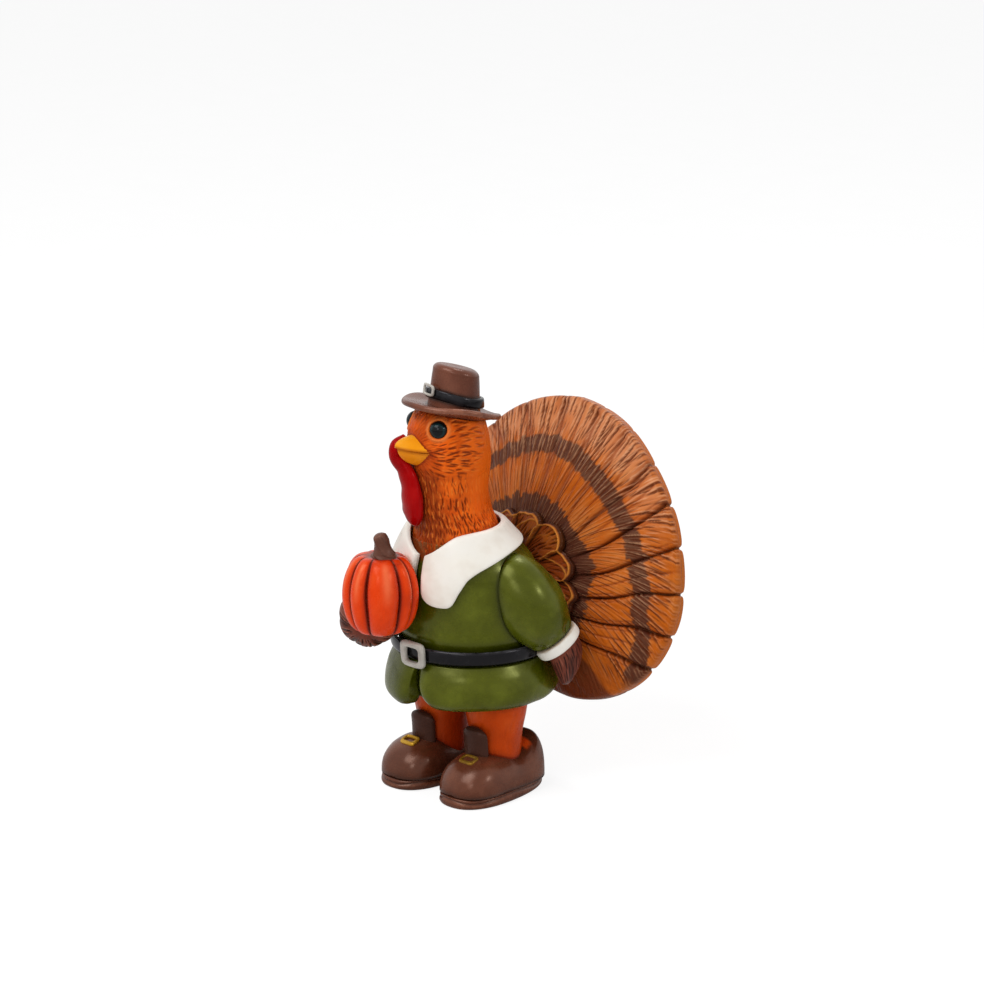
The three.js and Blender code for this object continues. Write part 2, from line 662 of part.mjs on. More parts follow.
// Belt and buckle
function belt(grow) {
  const half = BELT_HEIGHT / 2 + grow;
  const inner = GLUE_GAP - grow;
  const outer = GLUE_GAP + BELT_THICKNESS + grow;
  const section = [[inner, -half], [outer, -half], [outer, half], [inner, half]];
  return skin(around(BELT_SIDES, (a) => section.map(([out, up]) => onCoat(a, BELT_Z + up, out))), true);
}
figure.add(piece("belt", belt(0), "black"));
const beltFace = GLUE_GAP + BELT_THICKNESS;
const onBelt = (across, up, lift) => {
  const ride = Math.max(beltFace, skirtClear(BELT_Z + up));
  return onCoat(across / column(COAT, BELT_Z, "ry"), BELT_Z + up, ride + lift);
};
const beltBuckle = buckle(BELT_BUCKLE_WIDTH, BELT_BUCKLE_HEIGHT, BELT_BUCKLE_BAR, onBelt);
figure.add(piece("belt_buckle", beltBuckle, "silver"));

/** How far the top of the skirt stands out from the coat at a height. */
function skirtClear(z) {
  const top = BELT_Z - BELT_HEIGHT / 2 - GLUE_GAP;
  if (z > top) return 0;
  return skirtOuter((top - z) / (top - HEM_Z)) - column(COAT, z, "ry");
}

/** Outer radius of the skirt by share of the way from the belt to the hem. */
function skirtOuter(share) {
  return column([
    { at: 0, r: SKIRT_WAIST_RADIUS },
    { at: 0.3, r: (SKIRT_WAIST_RADIUS + 2 * SKIRT_RADIUS) / 3 },
    { at: 0.7, r: SKIRT_RADIUS },
    { at: 1, r: SKIRT_HEM_RADIUS },
  ], share, "r");
}

/** One flap: a swollen section carried round from the slit at the front to the middle of the back. */
function skirt(side, grow) {
  const top = BELT_Z - BELT_HEIGHT / 2 - GLUE_GAP;
  const slit = SKIRT_SLIT_HEM_DEG - SKIRT_SLIT_TOP_DEG;
  const hemZ = side > 0 ? HEM_Z : HEM_Z - RIGHT_FLAP_DROP;
  const rings = steps(SKIRT_STEPS, (share) => {
    const frontDeg = (z) => SKIRT_SLIT_TOP_DEG + (slit * (top - z)) / (top - hemZ);
    const sweep = Math.pow(share, 1.5);
    const fromSlit = sweep * (180 - SKIRT_SLIT_HEM_DEG);
    const turn = Math.max(0, 1 - fromSlit / SKIRT_CORNER_DEG);
    const hem = hemZ - grow + SKIRT_CORNER * (1 - Math.sqrt(1 - turn * turn));
    const at = (out, z) => {
      const start = radians(frontDeg(z)) - grow / SKIRT_RADIUS;
      const end = Math.PI - (GLUE_GAP / 2 - grow) / SKIRT_RADIUS;
      const angle = side * (start + (end - start) * sweep);
      return new Vector3(out * Math.sin(angle), -out * Math.cos(angle), z);
    };
    const outside = steps(6, (down) => {
      const z = top + grow + (hem - top - grow) * down;
      return at(skirtOuter(down) + grow, z);
    });
    const inside = steps(3, (rise) => {
      const z = hem + (top + grow - hem) * rise;
      return at(column(COAT, z, "ry") + GLUE_GAP - grow, z);
    });
    return [...outside, ...inside];
  });
  return skin(rings);
}
figure.add(piece("skirt_left", skirt(1, 0), "coat"));
figure.add(piece("skirt_right", skirt(-1, 0), "coat"));

// Collar panels, laid on the coat and stopped at the neck
function collar(side, grow) {
  const inner = GLUE_GAP - grow;
  const full = GLUE_GAP + COLLAR_THICKNESS + grow;
  const outside = [[0.04, full - COLLAR_ROUNDING], [0.25, full], [0.75, full], [1, full - COLLAR_ROUNDING]];
  const inside = [[1, inner], [0.66, inner], [0.33, inner], [0, inner]];
  const section = [...outside, ...inside];
  const rings = steps(COLLAR_STEPS, (share) => {
    const sweep = 180 - COLLAR_SLIT_DEG - COLLAR_BACK_DEG;
    const deg = COLLAR_SLIT_DEG + sweep * Math.pow(share, 1.4);
    const high = column(COLLAR_EDGES, deg, "inner") + grow;
    const low = column(COLLAR_EDGES, deg, "outer") - grow;
    return section.map(([down, out]) => onCoat(side * radians(deg), high + (low - high) * down, out));
  });
  return skin(rings);
}
const neckTool = outOf(head, neck(GLUE_GAP));
figure.add(piece("collar_left", cut(collar(1, 0), neckTool), "collar"));
figure.add(piece("collar_right", cut(collar(-1, 0), neckTool), "collar"));

// Pumpkin, pressed against the chest, with its stem
const chestFront = column(COAT, PUMPKIN_Z, "cy") - column(COAT, PUMPKIN_Z, "ry");
const pumpkinPlace = new Vector3(PUMPKIN_X, chestFront + PUMPKIN_SET_IN - PUMPKIN_RADIUS, PUMPKIN_Z);
function pumpkin(grow) {
  const rings = steps(PUMPKIN_STEPS, (share) => {
    const tip = Math.PI * (0.04 + 0.92 * share);
    const dimple = PUMPKIN_DIMPLE * Math.pow(Math.cos(tip), 14) * Math.sign(Math.cos(tip));
    const out = (PUMPKIN_RADIUS + grow) * Math.pow(Math.sin(tip), 0.9);
    const z = (PUMPKIN_HALF_HEIGHT + grow) * Math.cos(tip) - dimple;
    return around(PUMPKIN_RIBS * RIB_POINTS, (a) => {
      const rib = 1 - PUMPKIN_GROOVE * Math.pow(Math.abs(Math.cos((PUMPKIN_RIBS * a) / 2)), 5);
      const turned = a + radians(PUMPKIN_TURN_DEG);
      return new Vector3(out * rib * Math.cos(turned), out * rib * Math.sin(turned), -z).add(pumpkinPlace);
    });
  });
  return skin(rings);
}
const chestTools = [coat(GLUE_GAP), collar(1, GLUE_GAP), collar(-1, GLUE_GAP)];
figure.add(piece("pumpkin", cut(pumpkin(0), ...chestTools), "pumpkin"));
const stemRows = [
  { at: 0, r: STEM_FLARE },
  { at: 0.3, r: STEM_RADIUS * 1.15 },
  { at: 0.8, r: STEM_RADIUS },
  { at: 1, r: STEM_RADIUS * 0.6 },
];
const stemFoot = pumpkinPlace.z + PUMPKIN_HALF_HEIGHT - STEM_SUNK;
const stemX = pumpkinPlace.x + STEM_ACROSS;
const stemCurve = route([
  [stemX, pumpkinPlace.y, stemFoot],
  [stemX - STEM_LEAN / 3, pumpkinPlace.y, stemFoot + STEM_HEIGHT / 2],
  [stemX - STEM_LEAN, pumpkinPlace.y, stemFoot + STEM_HEIGHT],
]);
figure.add(piece("pumpkin_stem", cut(limb(stemCurve, stemRows), pumpkin(GLUE_GAP)), "stem"));

// Left arm hangs down and back
const bodyTools = [coat(GLUE_GAP), belt(GLUE_GAP), skirt(1, GLUE_GAP), skirt(-1, GLUE_GAP)];
const collarTools = [collar(1, GLUE_GAP), collar(-1, GLUE_GAP)];
const cuffRows = [
  { at: 0, r: CUFF_RADIUS - CUFF_ROUNDING, flat: 1 },
  { at: 0.25, r: CUFF_RADIUS, flat: 1 },
  { at: 0.75, r: CUFF_RADIUS, flat: 1 },
  { at: 1, r: CUFF_RADIUS - CUFF_ROUNDING, flat: 1 },
];
const sideways = new Vector3(1, 0, 0);
const leftArm = route(LEFT_ARM_PATH);
const leftDown = leftArm.getTangentAt(1);
const leftCuffStart = leftArm.getPointAt(1).addScaledVector(leftDown, GLUE_GAP);
const leftHandStart = leftCuffStart.clone().addScaledVector(leftDown, CUFF_WIDTH + GLUE_GAP);
const leftCuff = blade(leftCuffStart, leftDown, cuffRows, CUFF_WIDTH, sideways);
const leftHand = blade(leftHandStart, leftDown, HAND, HAND_LENGTH, sideways);
figure.add(piece("sleeve_left", cut(limb(leftArm, SLEEVE), ...bodyTools, ...collarTools), "coat"));
figure.add(piece("cuff_left", cut(leftCuff, ...bodyTools), "collar"));
figure.add(piece("wing_hand_left", cut(leftHand, ...bodyTools, outOf(tail, fan(GLUE_GAP))), "wing"));

// Right arm bends forward, and its hand cups the pumpkin from below
const palmCentre = pumpkinPlace.clone().add(new Vector3(...PALM_FROM_PUMPKIN));
const toElbow = new Vector3(...RIGHT_ELBOW).sub(palmCentre).normalize();
const palm = (grow) => ball(palmCentre, PALM_RADIUS + grow, PALM_SIDES);
const rightCuffStart = palmCentre.clone().addScaledVector(toElbow, PALM_REACH);
const rightSleeveEnd = rightCuffStart.clone().addScaledVector(toElbow, CUFF_WIDTH + GLUE_GAP);
const rightArm = route([RIGHT_SHOULDER, RIGHT_UPPER_ARM, RIGHT_ELBOW, rightSleeveEnd.toArray()]);
const heldTools = [...bodyTools, ...collarTools, pumpkin(GLUE_GAP)];
const rightCuff = blade(rightCuffStart, toElbow, cuffRows, CUFF_WIDTH, sideways);
figure.add(piece("wing_hand_right", cut(palm(0), pumpkin(GLUE_GAP), ...bodyTools), "wing"));
figure.add(piece("cuff_right", cut(rightCuff, palm(GLUE_GAP), ...heldTools), "collar"));
const rightCuffTool = blade(rightCuffStart, toElbow, cuffRows, CUFF_WIDTH + GLUE_GAP, sideways);
const rightSleeveTools = [rightCuffTool, palm(GLUE_GAP), ...heldTools];
figure.add(piece("sleeve_right", cut(limb(rightArm, SLEEVE), ...rightSleeveTools), "coat"));

// Legs and shoes
const upperFloor = SOLE_THICKNESS + GLUE_GAP;
const legTop = COAT_BOTTOM - GLUE_GAP;

function leg(side, grow) {
  const foot = upperFloor + GLUE_GAP;
  const rings = steps(LEG_STEPS, (share) => {
    const z = foot + (legTop - foot) * share - (share === 0 ? grow : 0);
    const r = column(LEG, share, "r") + grow;
    return around(LEG_SIDES, (a) => new Vector3(legX(side) + r * Math.cos(a), LEG_BACK + r * Math.sin(a), z));
  });
  return skin(rings);
}

/** Outline of the sole at a height, drawn in by an inset: a rounded oval, a little narrower at the heel. */
function soleRing(z, inset) {
  const round = (v) => Math.sign(v) * Math.pow(Math.abs(v), 2 / SOLE_SQUARENESS);
  return around(SOLE_SIDES, (a) => {
    const y = (SOLE_HALF_LENGTH - inset) * round(Math.sin(a));
    const narrowing = 1 - SOLE_HEEL_NARROWING * (y / SOLE_HALF_LENGTH);
    return new Vector3((SOLE_HALF_WIDTH - inset) * narrowing * round(Math.cos(a)), y, z);
  });
}
const sole = skin([
  soleRing(0, SOLE_EDGE),
  soleRing(SOLE_EDGE, 0),
  soleRing(SOLE_THICKNESS - SOLE_EDGE, 0),
  soleRing(SOLE_THICKNESS, SOLE_EDGE),
]);

/** Height of the shoe upper over its floor at a place across and along it. */
function upperHeight(x, y) {
  const share = Math.min(1, Math.abs(x) / column(UPPER, y, "w"));
  return column(UPPER, y, "h") * Math.pow(1 - Math.pow(share, UPPER_SQUARENESS), 1 / UPPER_SQUARENESS);
}
function upper(grow) {
  const places = UPPER.map((row) => row.at);
  const rings = places.map((y, i) => {
    const push = i === 0 ? -grow : i === places.length - 1 ? grow : 0;
    const w = UPPER[i].w + grow;
    return steps(ARCH_STEPS, (share) => {
      const c = Math.cos(share * Math.PI);
      const s = Math.sin(share * Math.PI);
      const x = w * Math.sign(c) * Math.pow(Math.abs(c), 2 / UPPER_SQUARENESS);
      const rise = (UPPER[i].h + grow) * Math.pow(s, 2 / UPPER_SQUARENESS);
      return new Vector3(x, y + push, upperFloor + rise);
    });
  });
  return skin(rings);
}
function tongue(side) {
  const foot = upperFloor + column(UPPER, SHOE_BUCKLE_Y, "h") * 0.6;
  const rings = steps(TONGUE_STEPS, (share) => {
    const z = foot + (TONGUE_TOP - foot) * share;
    const front = LEG_BACK - column(LEG, (z - upperFloor) / (legTop - upperFloor), "r");
    const trim = share < 1 ? 1 : TONGUE_TIP;
    return around(LIMB_SIDES, (a) => {
      const x = (TONGUE_WIDTH / 2) * trim * Math.sign(Math.cos(a)) * Math.sqrt(Math.abs(Math.cos(a)));
      const hug = x * x * TONGUE_HUG;
      return new Vector3(x, front - GLUE_GAP - (TONGUE_THICKNESS / 2) * (1 - Math.sin(a)) + hug, z);
    });
  });
  return skin(rings).translate(legX(side), 0, 0);
}
const shoeBuckle = buckle(SHOE_BUCKLE_WIDTH, SHOE_BUCKLE_LENGTH, SHOE_BUCKLE_BAR, (across, up, lift) => {
  const y = SHOE_BUCKLE_Y - up;
  return new Vector3(across, y, upperFloor + upperHeight(across, y) + lift);
});
for (const [name, side] of [["left", 1], ["right", -1]]) {
  const stand = new THREE.Group();
  stand.position.set(side * SHOE_X, SHOE_Y, 0);
  const spigot = pin(LEG_SPIGOT_RADIUS, legTop - SPIGOT_DEPTH, COAT_BOTTOM + SPIGOT_DEPTH - GLUE_GAP);
  const legCasting = join(leg(side, 0), spigot.translate(legX(side), LEG_BACK, 0));
  const legTool = leg(side, GLUE_GAP);
  stand.add(piece(`leg_${name}`, cut(legCasting, into(stand, skirt(side, GLUE_GAP))), "leg"));
  stand.add(piece(`shoe_sole_${name}`, sole.clone(), "shoe"));
  stand.add(piece(`shoe_upper_${name}`, cut(upper(0), legTool), "shoe"));
  stand.add(piece(`shoe_tongue_${name}`, cut(tongue(side), legTool, upper(GLUE_GAP)), "shoe"));
  stand.add(piece(`shoe_buckle_${name}`, shoeBuckle.clone(), "gold"));
  figure.add(stand);
}

// Tail fan and the covert ruff in front of it
function rimRadius(angle) {
  const deg = THREE.MathUtils.radToDeg(Math.asin(Math.sin(angle)));
  return column(FAN_RIM, deg, "r");
}

/** Height of a feather's crown across its width: full along its quill and nothing in the grooves. */
function crownOf(angle, feathers) {
  return Math.sqrt(Math.abs(Math.cos((feathers * angle) / 2)));
}
function dome(r, angle) {
  return 1 - Math.pow(r / rimRadius(angle), 2);
}
function fan(grow) {
  const place = (share, angle, back) => {
    const crown = crownOf(angle - Math.PI / 2, FAN_FEATHERS);
    const r = share * (rimRadius(angle) + grow - FEATHER_SCALLOP * (1 - crown));
    const rise = FEATHER_CROWN * crown * share;
    const front = -FAN_DOME * dome(share * rimRadius(angle), angle) - rise - grow;
    const rear = FAN_RIM_THICKNESS - FAN_BACK_DOME * dome(share * rimRadius(angle), angle) + rise / 2 + grow;
    return new Vector3(r * Math.cos(angle), back ? rear : front, r * Math.sin(angle));
  };
  const ring = (share, back) => around(FAN_FEATHERS * FEATHER_POINTS, (a) => place(share, a, back));
  const front = [0.15, 0.5, 0.8, 1].map((share) => ring(share, false));
  const rear = [1, 0.5].map((share) => ring(share, true));
  return skin([...front, ...rear]);
}
function coverts() {
  const place = (share, angle, front) => {
    const crown = crownOf(angle - Math.PI / 2, COVERT_FEATHERS);
    const r = share * (COVERT_RADIUS - COVERT_SCALLOP * (1 - crown));
    const seat = -FAN_DOME * dome(r, angle) - FEATHER_CROWN - GLUE_GAP;
    const thick = COVERT_THICKNESS - COVERT_THINNING * share + COVERT_CROWN * crown;
    return new Vector3(r * Math.cos(angle), seat - front * thick, r * Math.sin(angle));
  };
  const ring = (share, front) => around(COVERT_FEATHERS * FEATHER_POINTS, (a) => place(share, a, front));
  const front = [0.3, 0.65, 1].map((share) => ring(share, 1));
  const rear = [1, 0.3].map((share) => ring(share, 0));
  return skin([...front, ...rear]);
}
const backTools = bodyTools.map((tool) => into(tail, tool));
const spigotEnd = coatBack - SPIGOT_DEPTH + GLUE_GAP;
const tailSpigot = into(tail, tailPin(TAIL_SPIGOT_RADIUS, spigotEnd, (coatBack + FAN_Y) / 2));
const fanSeat = cut(fan(0), ...backTools);
tail.add(piece("tail_fan", join(fanSeat, tailSpigot), "tail"));
const covertHole = into(tail, tailPin(TAIL_SPIGOT_RADIUS + GLUE_GAP, spigotEnd, FAN_Y));
tail.add(piece("tail_coverts", cut(coverts(), covertHole, fan(GLUE_GAP), ...backTools), "covert"));

// Stand the figure on the ground with the middle of its box over the origin
const box = new THREE.Box3().setFromObject(figure, true);
const middle = box.getCenter(new Vector3());
figure.position.set(-middle.x, -middle.y, -box.min.z);

export default figure;
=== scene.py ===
"""Painted resin turkey figure in settler dress.

Shapes are worked out in millimetres about the torso's axis, facing -Y with the figure's left at +X,
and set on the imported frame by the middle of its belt. A shape is an array of rings of points.
"""

import bpy
import numpy as np
from mathutils import Matrix, Vector


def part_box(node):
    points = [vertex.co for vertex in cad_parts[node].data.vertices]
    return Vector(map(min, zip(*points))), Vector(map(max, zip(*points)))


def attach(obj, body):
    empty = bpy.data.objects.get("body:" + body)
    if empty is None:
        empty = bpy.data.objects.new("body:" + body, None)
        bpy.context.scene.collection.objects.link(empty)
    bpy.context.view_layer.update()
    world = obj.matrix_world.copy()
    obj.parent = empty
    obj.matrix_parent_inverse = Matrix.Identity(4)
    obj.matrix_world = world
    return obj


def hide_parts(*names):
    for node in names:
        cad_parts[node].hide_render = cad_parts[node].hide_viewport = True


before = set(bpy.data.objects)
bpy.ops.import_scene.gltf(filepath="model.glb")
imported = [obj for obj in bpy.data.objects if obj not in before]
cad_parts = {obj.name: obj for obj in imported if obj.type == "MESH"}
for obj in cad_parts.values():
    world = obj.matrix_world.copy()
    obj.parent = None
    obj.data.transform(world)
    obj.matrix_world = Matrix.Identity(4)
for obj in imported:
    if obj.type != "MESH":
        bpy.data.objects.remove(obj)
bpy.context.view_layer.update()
belt_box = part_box("belt")

MM = 0.001
TAU = 2 * np.pi
UPRIGHT = (0, 0, 1)
SIDES = (("left", 1), ("right", -1))
# Torso's axis on the ground, from metres to millimetres
TORSO = np.array((belt_box[0] + belt_box[1]) / 2) * np.array([1000, 1000, 0])

# Gap between glued pieces, and the smallest ring of a ball as an angle from its pole
GAP = 0.3
POLE = 0.03

# Coat: oval sections by height, half width, half depth and middle
COAT = [
    (16.8, 10.9, 10.9, 0), (25, 12, 12.1, 0), (30, 12.2, 12, -0.2), (35, 12, 11.4, -0.6),
    (38.5, 11.3, 10.5, -1.2), (41, 9.7, 9.1, -1.9), (43, 8, 7.9, -2.8), (45, 6.6, 6.8, -3.4),
    (46.5, 6, 6.2, -3.6),
]
COAT_FOOT = 16.8
COAT_TOP = 43
COAT_SINK = 0.1
COAT_NECK_Z = 39.6

# Belt
BELT_Z = 25
BELT_HEIGHT = 2.4
BELT_THICKNESS = 1.0
BELT_ROLL_Z = 27.6
# Painted highlight: a light line along the belt's upper edge, at this turn round the strap's section
BELT_HIGHLIGHT_TURN = 1.2
WAIST_RADIUS = 12.1

# Buckles: width, height and bar, then how deep each sits
BELT_BUCKLE = (4.5, 4.4, 1.0)
BELT_BUCKLE_SINK = 0.25
HAT_BUCKLE = (3.3, 1.9, 0.42)
HAT_BUCKLE_Z = 3.35
HAT_BUCKLE_OUT = 0.45
HAT_BUCKLE_BEND = 5.1
HAT_BUCKLE_TURN = -0.06
SHOE_BUCKLE = (3.1, 2.1, 0.5)
SHOE_BUCKLE_Y = -5.6
SHOE_BUCKLE_SINK = {1: 0.45, -1: 0.3}

# Skirt: radius by share of the way down, then its slit, hem and corners
HEM_Z = 16
RIGHT_FLAP_DROP = 0.9
SKIRT_TOP = BELT_Z - BELT_HEIGHT / 2 - GAP
SKIRT = [(0, 12.7), (0.3, 13.83), (0.7, 14.4), (1, 13.7)]
SKIRT_SINK = 0.12
SKIRT_SWEEP = 173
SKIRT_BACK_GAP = 0.006
CLOTH_LEAST = 0.3
HEM_ROLL = 1.3
HEM_ROLL_PART = 0.2
SLIT_TURN = 2
SLIT_FLARE = 5
SLIT_ROLL = 0.9
SLIT_ROLL_SWEEP = 9
SLIT_CORNER = 2.2
SLIT_CORNER_SWEEP = 14

# Collar edges by angle from the front: neck edge and outer edge
COLLAR_EDGES = [
    (4, 41.2, 35.2), (11, 41.8, 33.8), (22, 42.9, 33.4), (29, 43.6, 33.9), (35, 44.1, 36.1),
    (43, 44.6, 38.3), (60, 45, 40), (90, 45.2, 41.5), (125, 45.3, 42), (180, 45.4, 42.2),
]
COLLAR_THICKNESS = 1.2
COLLAR_START = 4
COLLAR_SWEEP = 174
COLLAR_CORNER_SWEEP = 3.5
COLLAR_PLUMP = 0.1

# Head: oval sections as the coat's, in the head's own frame
HEAD = [
    (41, 7.6, 7.6, 0.1), (43.5, 7, 7.2, 0), (45.3, 6.35, 6.75, -0.1), (47.2, 5.85, 6.4, -0.55),
    (50, 5.5, 6.2, -0.9), (53, 5.6, 6.5, -1.1), (56, 6.2, 6.8, -1.25), (59, 6.35, 6.9, -1.6),
    (62, 5.85, 6.15, -1.6), (64.5, 4.9, 5.1, -1.1), (66, 3.4, 3.6, -0.9),
]
HEAD_AT = np.array([0, -3.5, 0])
HEAD_TURN = -15
NECK_FOOT = 39.5
HEAD_TOP = 65.8
HEAD_SINK = 0.05
# Height of the painted shade band along the jaw
JAW_Z = 53.6
FOREHEAD_Z = 59.3
STROKE_DEPTH = 0.3
STROKE_WANDER = 0.9 / 44

# Eyes
EYE_RADIUS = 1.5
EYE_FLATNESS = 0.85
EYE_SUNK = 0.6
EYE_Z = 61.8
EYE_TURN = np.radians(45)
EYE_LIFT = 0.12
LID_RADIUS = 1.72
LID_HEIGHT = 0.2
SOCKET_DEPTH = 0.35

# Beak: tip and height of each half, then what they share
UPPER_BEAK = (11.4, 2.5)
LOWER_BEAK = (10.9, -2.9)
BEAK_FOOT = 5.2
BEAK_HALF_WIDTH = 4.1
BEAK_BLUNTNESS = 0.985
MOUTH_Z = 58.4
MOUTH_DIP = 0.35
MOUTH_RISE = 0.75
MOUTH_HALF_GAP = 0.07
STROKES_FROM = np.array([0, -7.5, MOUTH_Z])

# Snood: places along it, then its half width and half depth by share of the way
SNOOD_PATH = [
    (-1.9, -8.5, 59.9), (-1.75, -10.2, 58.9), (-1.9, -10.3, 56.9), (-0.9, -9.2, 55),
    (-0.2, -8.5, 52.2), (-0.1, -8.2, 49.3), (-0.35, -8, 47.3), (-1, -7.9, 46.1),
]
SNOOD = [
    (0, 0.5, 0.5), (0.12, 0.95, 0.8), (0.25, 1.1, 0.9), (0.42, 1.5, 1.1), (0.65, 2.1, 1.35),
    (0.84, 2.45, 1.4), (0.95, 1.9, 1.1), (1, 0.5, 0.5),
]
SNOOD_LEVEL = (0, -1, 0.2)

# Hat: its seat on the head, the brim, the crown and the ribbon round the crown
HAT_AT = np.array([0, -1.2, 63])
HAT_TILT = 15
UNDER_HAT = 0.2
UNDER_HAT_SLOPE = 0.23
BRIM_THICKNESS = 1.0
BRIM_HOLE = 2.3
BRIM_FLAT = 7.5
BRIM_RADIUS = 7.55
BRIM_DISH = 0.5
CROWN_SHEAR = 0.2
CROWN_BACK = 0.75
CROWN_RADIUS = 4.32
CROWN_RADIUS_Z = 1.4
CROWN_TAPER = 0.1
CROWN_FOOT = 0.5
CROWN_WALL_TOP = 6.7
CROWN_BEND_Z = 6.75
CROWN_BEND_WIDTH = 1.29
CROWN_BEND_HEIGHT = 1.05
CROWN_FLAT = 2.5
CROWN_FLAT_EDGE = 2.3
CROWN_TOP = 7.8
CROWN_DENT = 0.2
RIBBON_FOOT = 2.1
RIBBON_HALF_HEIGHT = 0.78
RIBBON_HALF_THICKNESS = 0.32

# Arms: places along them, radius by share of the way, then cuffs and hands
LEFT_ARM = [(7, -1, 39.4), (10, -0.5, 36.2), (12.4, 1.4, 31.2), (14.3, 3.8, 27.2)]
SLEEVE = [(0, 2.2), (0.15, 4.2), (0.5, 5.7), (0.8, 5.1), (1, 3.8)]
RIGHT_SHOULDER = (-8, -1, 36.8)
RIGHT_UPPER_ARM = (-11.4, -3, 33.8)
RIGHT_ELBOW = np.array([-13.6, -7, 31.6])
RIGHT_SLEEVE = [(0, 2), (0.15, 3.3), (0.5, 4.2), (0.8, 4.1), (1, 3.6)]
CUFF_RADIUS = 4
CUFF_WIDTH = 1.9
CUFF_ROUND = 0.75
# Hand: radius and flatness by share of the way
HAND = [(0, 3.1, 0.75), (0.4, 3.4, 0.6), (0.8, 2.6, 0.5), (1, 0.8, 0.5)]
HAND_LENGTH = 6
HAND_BEND = np.array([-1.6, -1.6, -1.4])
ACROSS = np.array([1.0, 0, 0])

# Pumpkin, its stem by radius along it, and the palm under it
PUMPKIN_RADIUS = 6.22
PUMPKIN_HALF_HEIGHT = 7.3
PUMPKIN_DIMPLE = 1.05
PUMPKIN_AT = np.array([-3.8, -17.25, 35.3])
PUMPKIN_LOBES = 9
PUMPKIN_TURN = np.radians(-26)
PUMPKIN_FRONT = np.radians(-47)
STEM = [(0, 2.7), (0.2, 2.1), (0.45, 1.5), (0.75, 1.3), (0.9, 1.15), (0.97, 0.75), (1, 0.3)]
STEM_FOOT = np.array([0.9, 0, PUMPKIN_HALF_HEIGHT - 1.6])
STEM_PATH = [(0, 0, 0), (0, -0.1, 1.4), (-0.2, -0.3, 2.9), (-0.7, -0.6, 4.4)]
PALM_AT = PUMPKIN_AT + np.array([-3.7, 1.2, -5])
PALM_RADIUS = 5
PALM_TO_CUFF = 4.2

# Shoes and legs: leg radius by share of the way up
SHOE_X = 6.6
SHOE_Y = -2.2
LEG = [(0, 4.1), (0.5, 4.3), (0.8, 5), (1, 5.4)]
LEG_BACK = 1.6
LEG_INSET = 0.7
LEG_TOP = 16.5
# Sole: inset of its edge by level
SOLE_EDGE = [
    (0, 0.6), (0.08, 0.3), (0.3, 0.08), (0.6, 0), (0.9, 0.05), (1.12, 0.2), (1.25, 0.22), (1.4, 0.12),
    (1.6, 0.16), (1.8, 0.4), (1.95, 0.9),
]
SOLE_THICKNESS = 1.9
SOLE_TOP = 1.95
SOLE_HALF_LENGTH = 10.2
SOLE_HALF_WIDTH = 5.5
SOLE_NARROWING = 0.1
SOLE_SQUARENESS = 2 / 2.35
# Upper: height along it, with where its toe and heel start to round off and how long they are
UPPER = [
    (-9.75, 4.2), (-7.5, 4.5), (-5, 5), (-3, 5.3), (-1, 5.1), (1.5, 4.6), (4, 4.9), (6.4, 6.1),
    (8.2, 6.8), (9.8, 6.7),
]
UPPER_FLOOR = SOLE_THICKNESS + GAP
UPPER_HALF_LENGTH = 9.75
UPPER_HALF_WIDTH = 5.4
UPPER_SHOULDER = 2.6
UPPER_SINK = 0.35
UPPER_SWELL = 0.3
TOE_SIDE = (-3.2, 6.55)
HEEL_SIDE = (2.6, 7.2)
TOE_CAP = (-5, 4.75)
HEEL_CAP = (7.8, 2)
TONGUE_FOOT = UPPER_FLOOR + 3.2
TONGUE_TOP = 12
TONGUE_HALF_WIDTH = 2.5
TONGUE_HALF_THICKNESS = 0.75
TONGUE_HUG = 0.09

# Tail fan: rim radius by angle from level
FAN_RIM = [
    (-90, 15.4), (-72, 17.7), (-56, 20.8), (-44, 23.1), (-26, 26.2), (-14, 27.6), (0, 28.6),
    (20, 28.6), (50, 29.2), (70, 30.6), (90, 31.4),
]
FAN_AT = np.array([0, 17.4, 30])
FAN_LEAN = -15
FAN_SWEEP = 0.26
FAN_DOME = 8
FAN_BACK_DOME = 1.5
FAN_THICKNESS = 1.8
FAN_INSET = 0.06
FEATHERS = 25
FEATHER_TURN = np.radians(66)
FEATHER_CROWN = 0.7
# Painted stripe and dark heart of the fan by angle from level: radius, half width, and edge radius
STRIPE_MIDDLE = [
    (-40, 26), (-20, 25.4), (-10, 24.5), (0, 23.6), (10, 23.1), (20, 22.7), (30, 22.3), (40, 21.6),
    (50, 21.6), (60, 21.8), (70, 22.3), (80, 22.9), (90, 23.2),
]
STRIPE_HALF = [(-40, 1.6), (-20, 1.5), (-10, 1.15), (0, 1.35), (30, 1.35), (60, 1.45), (90, 1.5)]
HEART_EDGE = [
    (-40, 14.6), (-6, 14.7), (8, 14.8), (22, 15.5), (34, 15.2), (44, 14.4), (72, 14.5), (90, 14.6),
]
# Covert ruff: reach by angle from level
COVERT_REACH = [(-90, 13), (-15, 13.4), (12, 13), (38, 12.2), (66, 11.9), (90, 11.8)]
COVERT_LOBES = 13
COVERT_TURN = np.radians(81)
COVERT_SEAT = 0.9

# Seam search: points kept along and round a neighbour, points looked up at once, and the sideways
# distance to a kept point that doesn't count
NEAR_ROWS = 70
NEAR_BATCH = 3000
NEAR_SPACING = 0.5


# Small calculations shared by the shapes

